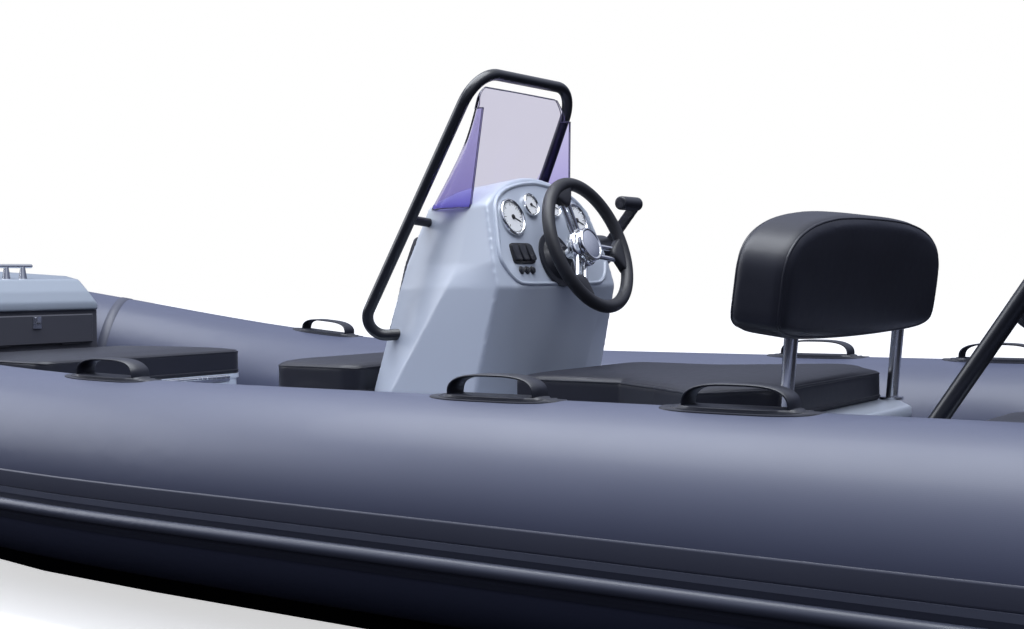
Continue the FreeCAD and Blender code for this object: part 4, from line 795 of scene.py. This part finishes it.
def hinge(shape, axis_x, axis_z, middle, half, leaf_height, face_x, out):
    """Knuckles in line, and the leaf under them on the locker's face."""
    count = round(2 * half / knuckle_length)
    edges = [-half + 2 * half * k / count for k in range(count + 1)]
    for first, second in zip(edges, edges[1:]):
        rows = []
        for y, share in ((first + knuckle_gap, 0.8), (first + knuckle_gap * 2, 1.0),
                         (second - knuckle_gap * 2, 1.0), (second - knuckle_gap, 0.8)):
            radius = knuckle_radius * share
            rows.append([Vector((axis_x + radius * math.cos(turn), middle + y,
                                 axis_z + radius * math.sin(turn))) for turn in turns_of(20)])
        skin(shape, rows, closed_rows=True, caps=True)
    top = axis_z - knuckle_radius * 0.6
    rows = []
    for inset, stand in ((0.0, 0.0), (0.0, leaf_thickness * 0.6), (leaf_thickness * 0.4, leaf_thickness)):
        rows.append([Vector((face_x + out * stand, middle + across * (half - inset),
                             top - leaf_height / 2 + rise * (leaf_height / 2 - inset)))
                     for across, rise in (power_curve(turn, 9.0) for turn in turns_of(40))])
    made = skin(shape, rows, closed_rows=True)
    shape.faces.new(made[-1])


hinge_sets = (
    # name, joint axis, places across, half length and leaf height, the locker's face and which way it looks
    ("front_seat_hinges", (2.134, 0.4573), (-0.15, 0.15), (0.030, 0.030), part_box("front_seat_box")[1][0], 1),
    ("bow_hatch_hinge_strip", (2.889, 0.446), (0.0,), (0.32, 0.012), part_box("bow_locker")[0][0], -1))
for name, (axis_x, axis_z), middles, (half, leaf_height), face_x, out in hinge_sets:
    shape = bmesh.new()
    for middle in middles:
        hinge(shape, axis_x, axis_z, middle, half, leaf_height, face_x, out)
    add_piece(name, mesh_of(shape), stainless, smooth=40.0)

# Console: a one-piece gelcoat moulding with a raised rim round its dash, and a padded
# backrest for the front seat screwed to its front.
moulding("console", moulded_grey, 0.0055, 3)
pad("console_back_pad", voxel=0.008, flat_base=False)

dash_origin = Vector((1.39767, 0.0, 0.746))
dash_tilt = math.radians(18.13)
dash_up = Vector((math.sin(dash_tilt), 0.0, math.cos(dash_tilt)))
dash_out = Vector((-math.cos(dash_tilt), 0.0, math.sin(dash_tilt)))


def on_dash(across, up, out=0.0):
    """A point of the dash: port of the centreline, up the panel, and standing off it."""
    return dash_origin + Vector((0, across, 0)) + dash_up * up + dash_out * out


def bezier(corners, steps=10):
    """A smooth run through the middle of three corners."""
    first, middle, last = (Vector(corner) for corner in corners)
    shares = [k / steps for k in range(steps + 1)]
    return [first.lerp(middle, share).lerp(middle.lerp(last, share), share) for share in shares]


dress("dash_panel", moulded_grey, 30.0)
rim_start = ((0.0, -0.004), (0.150, -0.004))
rim_curves = (
    ((0.176, -0.002), (0.205, 0.004), (0.222, 0.030)), ((0.232, 0.048), (0.240, 0.062), (0.230, 0.096)),
    ((0.206, 0.176), (0.196, 0.214), (0.140, 0.234)), ((0.120, 0.240), (0.060, 0.256), (0.0, 0.258)))
rim_line = list(rim_start)
for curve in rim_curves:
    rim_line += [tuple(point) for point in bezier(curve)]
rim_half_width = 0.0055
rim_stand = 0.0050
rim_sink = 0.003


def dash_rim():
    loop = rim_line[:-1] + [(-a, b) for a, b in reversed(rim_line)][:-1]
    loop = [Vector(point) for point in loop]
    shape = bmesh.new()
    rows = []
    for i, point in enumerate(loop):
        ahead = (loop[(i + 1) % len(loop)] - loop[i - 1]).normalized()
        side = Vector((ahead.y, -ahead.x))
        row = []
        for k in range(9):
            turn = math.pi * k / 8
            place = point + side * rim_half_width * math.cos(turn)
            row.append(on_dash(place.x, place.y, -rim_sink + (rim_stand + rim_sink) * math.sin(turn)))
        rows.append(row)
    skin(shape, rows, closed_ring=True)
    return mesh_of(shape)


add_piece("dash_rim", dash_rim(), moulded_grey, smooth=60.0)

# Instruments: chrome bezels over white faces with printed scales and a black pointer.
# Two large dials stand outside two small ones.
large_dial = (0.144, 0.163, 0.047)
small_dial = (0.050, 0.198, 0.030)
bezel_profile = (
    # share of the radius, and height off the dash
    (1.0, 0.0), (1.0, 0.0035), (0.985, 0.0065), (0.955, 0.0088), (0.915, 0.0094), (0.875, 0.0086),
    (0.845, 0.0066), (0.83, 0.0052))
face_shares = (0.84, 0.4, 0.1)
face_stand = 0.0054
ink_stand = 0.0002           # print stands this far over the face
mark_shares = (0.60, 0.68, 0.76)             # where long marks and short ones start, and where both end
mark_width_shares = (0.045, 0.022)
needle_shares = (-0.14, 0.62, 0.075)         # its tail, its tip and its width
needle_low = 0.0004
needle_top = 0.0012
boss_profile = ((0.13, face_stand), (0.13, face_stand + 0.0022), (0.09, face_stand + 0.0030))
rim_profile = ((0.815, face_stand + 0.0001), (0.80, face_stand + 0.0004), (0.785, face_stand + 0.0001))
scale_start = math.radians(225.0)
scale_sweep = math.radians(270.0)
ring_steps = 64


def dash_ring(shape, across, up, radius, profile, cap=False):
    rows = []
    for share, out in profile:
        reach = radius * share
        rows.append([on_dash(across + reach * math.cos(turn), up + reach * math.sin(turn), out)
                     for turn in turns_of(ring_steps)])
    made = skin(shape, rows, closed_rows=True)
    if cap:
        shape.faces.new(made[-1])


def dash_bar(shape, across, up, angle, near, far, width, low, top):
    """A printed or raised bar that points away from a dial's middle."""
    along = Vector((math.cos(angle), math.sin(angle)))
    aside = Vector((-along.y, along.x)) * width / 2
    tip = aside * 0.7
    corners = [along * near - aside, along * near + aside, along * far + tip, along * far - tip]
    lower = [shape.verts.new(on_dash(across + c.x, up + c.y, low)) for c in corners]
    upper = [shape.verts.new(on_dash(across + c.x, up + c.y, top)) for c in corners]
    shape.faces.new(upper)
    shape.faces.new(lower)
    for k in range(4):
        shape.faces.new((lower[k], lower[(k + 1) % 4], upper[(k + 1) % 4], upper[k]))


paint = Paint("chrome")
chrome = paint.surface(
    Base_Color=paint.mix(paint.noise(0.01, 2.0), (0.78, 0.79, 0.81), (0.86, 0.87, 0.88)), Metallic=1.0,
    Roughness=0.07 + paint.noise(0.004, 4.0) * 0.06)
paint = Paint("dial_face")
dial_face = paint.surface(
    Base_Color=paint.mix(paint.noise(0.01, 2.0), (0.70, 0.71, 0.73), (0.76, 0.77, 0.79)),
    Roughness=0.45 + paint.noise(0.003, 2.0) * 0.05, Coat_Weight=0.3)
paint = Paint("dial_ink")
dial_ink = paint.surface(
    Base_Color=paint.mix(paint.noise(0.004, 2.0), (0.012, 0.012, 0.014), (0.02, 0.02, 0.022)),
    Roughness=0.40 + paint.noise(0.002, 2.0) * 0.08)
bezels, faces, ink = bmesh.new(), bmesh.new(), bmesh.new()
for across, up, radius in (large_dial, small_dial):
    for side in (1, -1):
        middle = across * side
        dash_ring(bezels, middle, up, radius, bezel_profile)
        dash_ring(faces, middle, up, radius, [(share, face_stand) for share in face_shares], cap=True)
        marks = 25 if radius > 0.04 else 13
        for k in range(marks):
            major = k % 4 == 0
            angle = scale_start - scale_sweep * k / (marks - 1)
            start, width = mark_shares[0 if major else 1], mark_width_shares[0 if major else 1]
            dash_bar(ink, middle, up, angle, radius * start, radius * mark_shares[2], radius * width,
                     face_stand - ink_stand, face_stand + ink_stand)
        tail, tip, width = (radius * share for share in needle_shares)
        dash_bar(ink, middle, up, scale_start - scale_sweep * 0.08, tail, tip, width,
                 face_stand + needle_low, face_stand + needle_top)
        dash_ring(ink, middle, up, radius, boss_profile, cap=True)
        dash_ring(ink, middle, up, radius, rim_profile)
add_piece("dial_bezels", mesh_of(bezels), chrome, stands_for=("gauges",), smooth=60.0)
add_piece("dial_faces", mesh_of(faces), dial_face)
add_piece("dial_scales", mesh_of(ink), dial_ink)

# Switches: a black surround with three rockers, and three sealed push buttons under it.
paint = Paint("black_plastic")
black_plastic = paint.surface(
    Base_Color=paint.mix(paint.noise(0.1, 3.0), (0.009, 0.010, 0.015), (0.015, 0.016, 0.023)),
    Roughness=0.34 + paint.noise(0.01, 4.0) * 0.08, Normal=paint.bump(paint.noise(0.0015, 2.0), 0.0001, 0.5))
switch_across = 0.142
switch_half = 0.046
switch_low = 0.046
switch_high = 0.098
rocker_half_width = 0.0122
rocker_pitch = 2 * switch_half / 3
button_up = 0.030
button_radius = 0.0085
button_profile = ((1.15, 0.0), (1.15, 0.0018), (1.0, 0.0030), (0.92, 0.0030), (0.86, 0.0054), (0.60, 0.0062))
surround_form = (-0.0002, 0.004, 0.0016)     # foot, top and edge
rocker_form = (0.0038, 0.0092, 0.0022, 0.0024)    # foot, top, edge and how far it rocks
rocker_half_height = 0.0205
rocker_lift = 0.001


def dash_block(shape, across, up, half_width, half_height, low, top, edge, rock=0.0):
    """A raised block with soft edges; rock tips its face, lower part out."""
    rows = []
    for inset, out in ((0.0, low), (0.0, top - edge), (edge * 0.3, top - edge * 0.3), (edge, top)):
        row = []
        for turn in turns_of(40):
            along, rise = power_curve(turn, 7.0)
            tip = rock * -rise if out > low else 0.0
            row.append(on_dash(across + along * (half_width - inset),
                               up + rise * (half_height - inset), out + tip))
        rows.append(row)
    made = skin(shape, rows, closed_rows=True)
    shape.faces.new(made[-1])


surround, rockers = bmesh.new(), bmesh.new()
switch_up = (switch_low + switch_high) / 2
dash_block(surround, switch_across, switch_up, switch_half, (switch_high - switch_low) / 2, *surround_form)
for k in (-1, 0, 1):
    across = switch_across + rocker_pitch * k
    dash_block(rockers, across, switch_up + rocker_lift, rocker_half_width, rocker_half_height, *rocker_form)
    dash_ring(rockers, switch_across + rocker_pitch * 0.75 * k, button_up, button_radius,
              button_profile, cap=True)
add_piece("switch_surround", mesh_of(surround), dial_ink,
          stands_for=("switch_panel",), smooth=40.0)
add_piece("switch_rockers", mesh_of(rockers), black_plastic,
          stands_for=("dash_buttons",), smooth=40.0)
dress("helm_boot control_box valves", black_plastic, 30.0)
moulding("control_lever", black_plastic, 0.0022, 2)

# Steering wheel: a soft grip moulded over a hoop, three pairs of chromed spokes that run
# into padded wedges, and a chromed cap with a raised ring. Everything turns on the shaft.
wheel_middle = Vector((1.320, 0.0, 0.835))
wheel_tilt = math.radians(20.0)
wheel_aft = Vector((-math.cos(wheel_tilt), 0.0, math.sin(wheel_tilt)))
wheel_up = Vector((math.sin(wheel_tilt), 0.0, math.cos(wheel_tilt)))
wheel_side = Vector((0.0, -1.0, 0.0))
hoop_radius = 0.159
grip_radius = 0.016
weld_reach = 0.00001         # points nearer than this are one
wedge_depth = 0.040          # the padded wedges where the spokes run into the grip
wedge_least = 0.004
wedge_inset = 0.006
wedge_half_thickness = 0.0105
wedge_hollow = 0.002
cap_profile = (
    # radius, and height aft of the wheel's middle
    (0.0425, 0.0), (0.0425, 0.0072), (0.0410, 0.0100), (0.0385, 0.0106), (0.0360, 0.0100), (0.0345, 0.0084),
    (0.0300, 0.0092), (0.0150, 0.0106), (0.0030, 0.0110))
collar_profile = ((0.0470, -0.030), (0.0485, -0.026), (0.0485, -0.016), (0.0470, -0.012), (0.0430, -0.010))


def on_wheel(across, up, aft):
    return wheel_middle + wheel_side * across + wheel_up * up + wheel_aft * aft


def wheel_ring(shape, profile, steps=96, cap=False):
    """A turned part of the wheel: radius and distance aft for each ring of it."""
    rows = [[on_wheel(radius * math.cos(turn), radius * math.sin(turn), aft) for turn in turns_of(steps)]
            for radius, aft in profile]
    made = skin(shape, rows, closed_rows=True)
    if cap:
        shape.faces.new(made[-1])


paint = Paint("wheel_grip")
pores = paint.node("TexVoronoi", {"feature": "DISTANCE_TO_EDGE"}, {"Vector": paint.place(), "Scale": 900.0})
wheel_grip = paint.surface(
    Base_Color=paint.mix(paint.noise(0.03, 3.0), (0.009, 0.009, 0.013), (0.015, 0.016, 0.021)),
    Roughness=0.42 + paint.noise(0.01, 4.0) * 0.12, Normal=paint.bump(pores, 0.0002, 0.5))
shape = bmesh.new()
grip_turns = [2 * math.pi * k / 24 for k in range(25)]
grip_profile = [(hoop_radius + grip_radius * math.cos(turn), grip_radius * 0.96 * math.sin(turn))
                for turn in grip_turns]
wheel_ring(shape, grip_profile, steps=128)
bmesh.ops.remove_doubles(shape, verts=shape.verts, dist=weld_reach)
for k in range(3):
    middle = math.radians(90.0 + 120.0 * k + 20.0)
    rows = []
    for i in range(13):
        share = i / 12 * 2 - 1
        angle = middle + share * 0.30
        depth = wedge_depth * (1 - abs(share) ** 2.2) + wedge_least
        row = []
        for turn in turns_of(16):
            along, rise = power_curve(turn, 3.0)
            radius = hoop_radius - depth / 2 - wedge_inset + along * (depth / 2 + wedge_least)
            aft = rise * wedge_half_thickness - wedge_hollow * (1 - along)
            row.append(on_wheel(radius * math.cos(angle), radius * math.sin(angle), aft))
        rows.append(row)
    skin(shape, rows, closed_rows=True, caps=True)
add_piece("wheel_grip", mesh_of(shape), wheel_grip, "steering_wheel", ("wheel_rim",), 60.0)
dress("wheel_hub", chrome, 30.0)
shape = bmesh.new()
wheel_ring(shape, cap_profile, cap=True)
wheel_ring(shape, collar_profile)
add_piece("wheel_cap", mesh_of(shape), chrome, "steering_wheel", smooth=50.0)

# Windshield: violet-tinted acrylic bent to a tight U, with a polished edge, bonded to the
# console's sides and top.
paint = Paint("shield_acrylic")
_, y, z = paint.axes()
tint_foot = 0.93
tint_slope = 4.5             # share of the tint's change for each metre up
tint_stops = [(0.0, (0.34, 0.30, 0.64)), (1.0, (0.56, 0.53, 0.80))]
low_tint = paint.node("ValToRGB", {"stops": tint_stops}, {0: (z - tint_foot) * tint_slope})
wing_start = 0.186
shield_acrylic = paint.surface(
    Base_Color=paint.mix(abs(y) > wing_start, (0.62, 0.605, 0.72), low_tint),
    Roughness=0.02 + paint.noise(0.05, 3.0) * 0.02, Transmission_Weight=1.0, IOR=1.08)
dress("windshield", shield_acrylic, 40.0)
edge_radius = 0.0012


def rim_lines(mesh, degrees=50.0):
    """The runs of edges where a sheet's faces meet its rim."""
    shape = bmesh.new()
    shape.from_mesh(mesh)
    bmesh.ops.remove_doubles(shape, verts=shape.verts, dist=weld_reach)
    sharp = [e for e in shape.edges if len(e.link_faces) == 2 and e.calc_face_angle() > math.radians(degrees)]
    left = set(sharp)
    lines = []
    for edge in sharp:
        if edge not in left:
            continue
        left.remove(edge)
        here = edge.verts[1]
        line = [edge.verts[0].co.copy(), here.co.copy()]
        after = [e for e in here.link_edges if e in left]
        while after:
            left.remove(after[0])
            here = after[0].other_vert(here)
            line.append(here.co.copy())
            after = [e for e in here.link_edges if e in left]
        lines.append(line)
    shape.free()
    return lines


def wire(shape, line, radius, sides=6):
    """A thin round bead along a line of points."""
    rows = []
    for i, point in enumerate(line):
        ahead = (line[min(i + 1, len(line) - 1)] - line[max(i - 1, 0)]).normalized()
        side = ahead.cross(Vector((0.31, 0.17, 0.93))).normalized()
        up = side.cross(ahead)
        rows.append([point + (side * math.cos(turn) + up * math.sin(turn)) * radius
                     for turn in turns_of(sides)])
    skin(shape, rows, closed_rows=True, caps=True)


paint = Paint("shield_edge")
shield_edge = paint.surface(
    Base_Color=paint.mix(paint.noise(0.02, 2.0), (0.060, 0.052, 0.110), (0.110, 0.100, 0.180)),
    Roughness=0.16 + paint.noise(0.01, 2.0) * 0.06, Coat_Weight=0.4)
shape = bmesh.new()
for line in rim_lines(nodes["windshield"].data):
    wire(shape, line, edge_radius)
add_piece("shield_rim", mesh_of(shape), shield_edge, smooth=60.0)

# Handrail: black powder-coated tube with welded stays, let into the console at its feet.
paint = Paint("black_tube")
black_tube = paint.surface(
    Base_Color=paint.mix(paint.noise(0.1, 3.0), (0.007, 0.008, 0.012), (0.012, 0.013, 0.018)),
    Roughness=0.30 + paint.noise(0.006, 3.0) * 0.08, Coat_Weight=0.15,
    Normal=paint.bump(paint.noise(0.002, 2.0), 0.0001, 0.4))
dress("handrail stern_arch", black_tube, 40.0)

# Helm seat: a gelcoat base with a rolled rim under a flat vinyl cushion.
moulding("helm_seat_base", moulded_grey, 0.007, 3)
low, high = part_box("helm_seat_cushion")
helm_pad = pad("helm_seat_cushion")
helm_outline = ((1.360, 0.262), (1.085, 0.262), (0.960, 0.340), (0.815, 0.452), (0.697, 0.286))
helm_pad_corner = 0.016
helm_piping_below_top = 0.007
corners = mirrored_corners(helm_outline)
seam("helm_seat_piping", helm_pad, pipings(corners, helm_pad_corner, low, high, helm_piping_below_top))

# Backrest: a thick pad with welded edges round both faces, on two stainless posts.
rest_lean = math.radians(8.0)
rest_half = 0.462
rest_height = 0.252
rest_middle = rest_height * 0.42
rest_thickness = 0.114
rest_foot = Vector((0.738, 0.0, 0.634 + rest_thickness * math.sin(rest_lean)))
blank_powers = (3.6, 8.0)    # roundness of the solid's corners, upper and lower
cover_powers = (2.9, 8.0)    # and of the sewn cover's
cover_sag = 0.004            # the cover hangs this far below the solid, and its lower edge bows
cover_bow = 0.010
rest_turn = Matrix.Rotation(-rest_lean, 3, "Y")


def cover_corners(mesh):
    """Draws the corners in from the solid's outline to the cover's rounder one."""
    back_turn = rest_turn.inverted()
    for vertex in mesh.vertices:
        local = back_turn @ (vertex.co - rest_foot)
        up = local.z - rest_middle
        across = abs(local.y) / rest_half
        rise = abs(up) / (rest_height - rest_middle if up > 0 else rest_middle)
        blank, cover = (powers[0 if up > 0 else 1] for powers in (blank_powers, cover_powers))
        spread = (across ** cover + rise ** cover) ** (1 / cover)
        if spread > 0:
            share = (across ** blank + rise ** blank) ** (1 / blank) / spread
            low = cover_sag + cover_bow * max(0.0, 1 - across ** 2) * (rise if up < 0 else 0.0)
            moved = Vector((local.x, local.y * share, rest_middle + up * share - low))
            vertex.co = rest_foot + rest_turn @ moved
    return mesh


rest_voxel = 0.010
rest_cap = 0.005
rest_mesh = cover_corners(swollen(copied("backrest_pad"), rest_voxel, rest_cap, False))
rest_pad = add_piece("backrest_pad_cover", rest_mesh, vinyl,
                     stands_for=("backrest_pad",), smooth=180.0)


def rest_outline(back, inset, steps=120):
    """The cover's outline at this depth behind its front face."""
    points = []
    for turn in turns_of(steps):
        upper = math.sin(turn) > 0
        across, rise = power_curve(turn, cover_powers[0 if upper else 1])
        up = rest_middle + rise * ((rest_height - rest_middle if upper else rest_middle) - inset)
        low = cover_sag + cover_bow * (1 - across ** 2) * max(0.0, -rise)
        points.append(rest_foot + rest_turn @ Vector((-back, across * (rest_half - inset), up - low)))
    return points


edge_depth = 0.006
edge_inset = 0.004
edges = [rest_outline(back, edge_inset) for back in (edge_depth, rest_thickness - edge_depth)]
seam("backrest_piping", rest_pad, edges)

# Stern bench with its cushion, and the arch behind it that carries a padded rest.
dress("stern_bench", moulded_grey, 30.0)
low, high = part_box("stern_cushion")
bench_pad = pad("stern_cushion")
corners = mirrored_corners([(low[0], high[1]), (high[0], high[1])])
bench_pad_corner = 0.016
seam("stern_cushion_piping", bench_pad, pipings(corners, bench_pad_corner, low, high))
pad("arch_pad", voxel=0.010, flat_base=False)
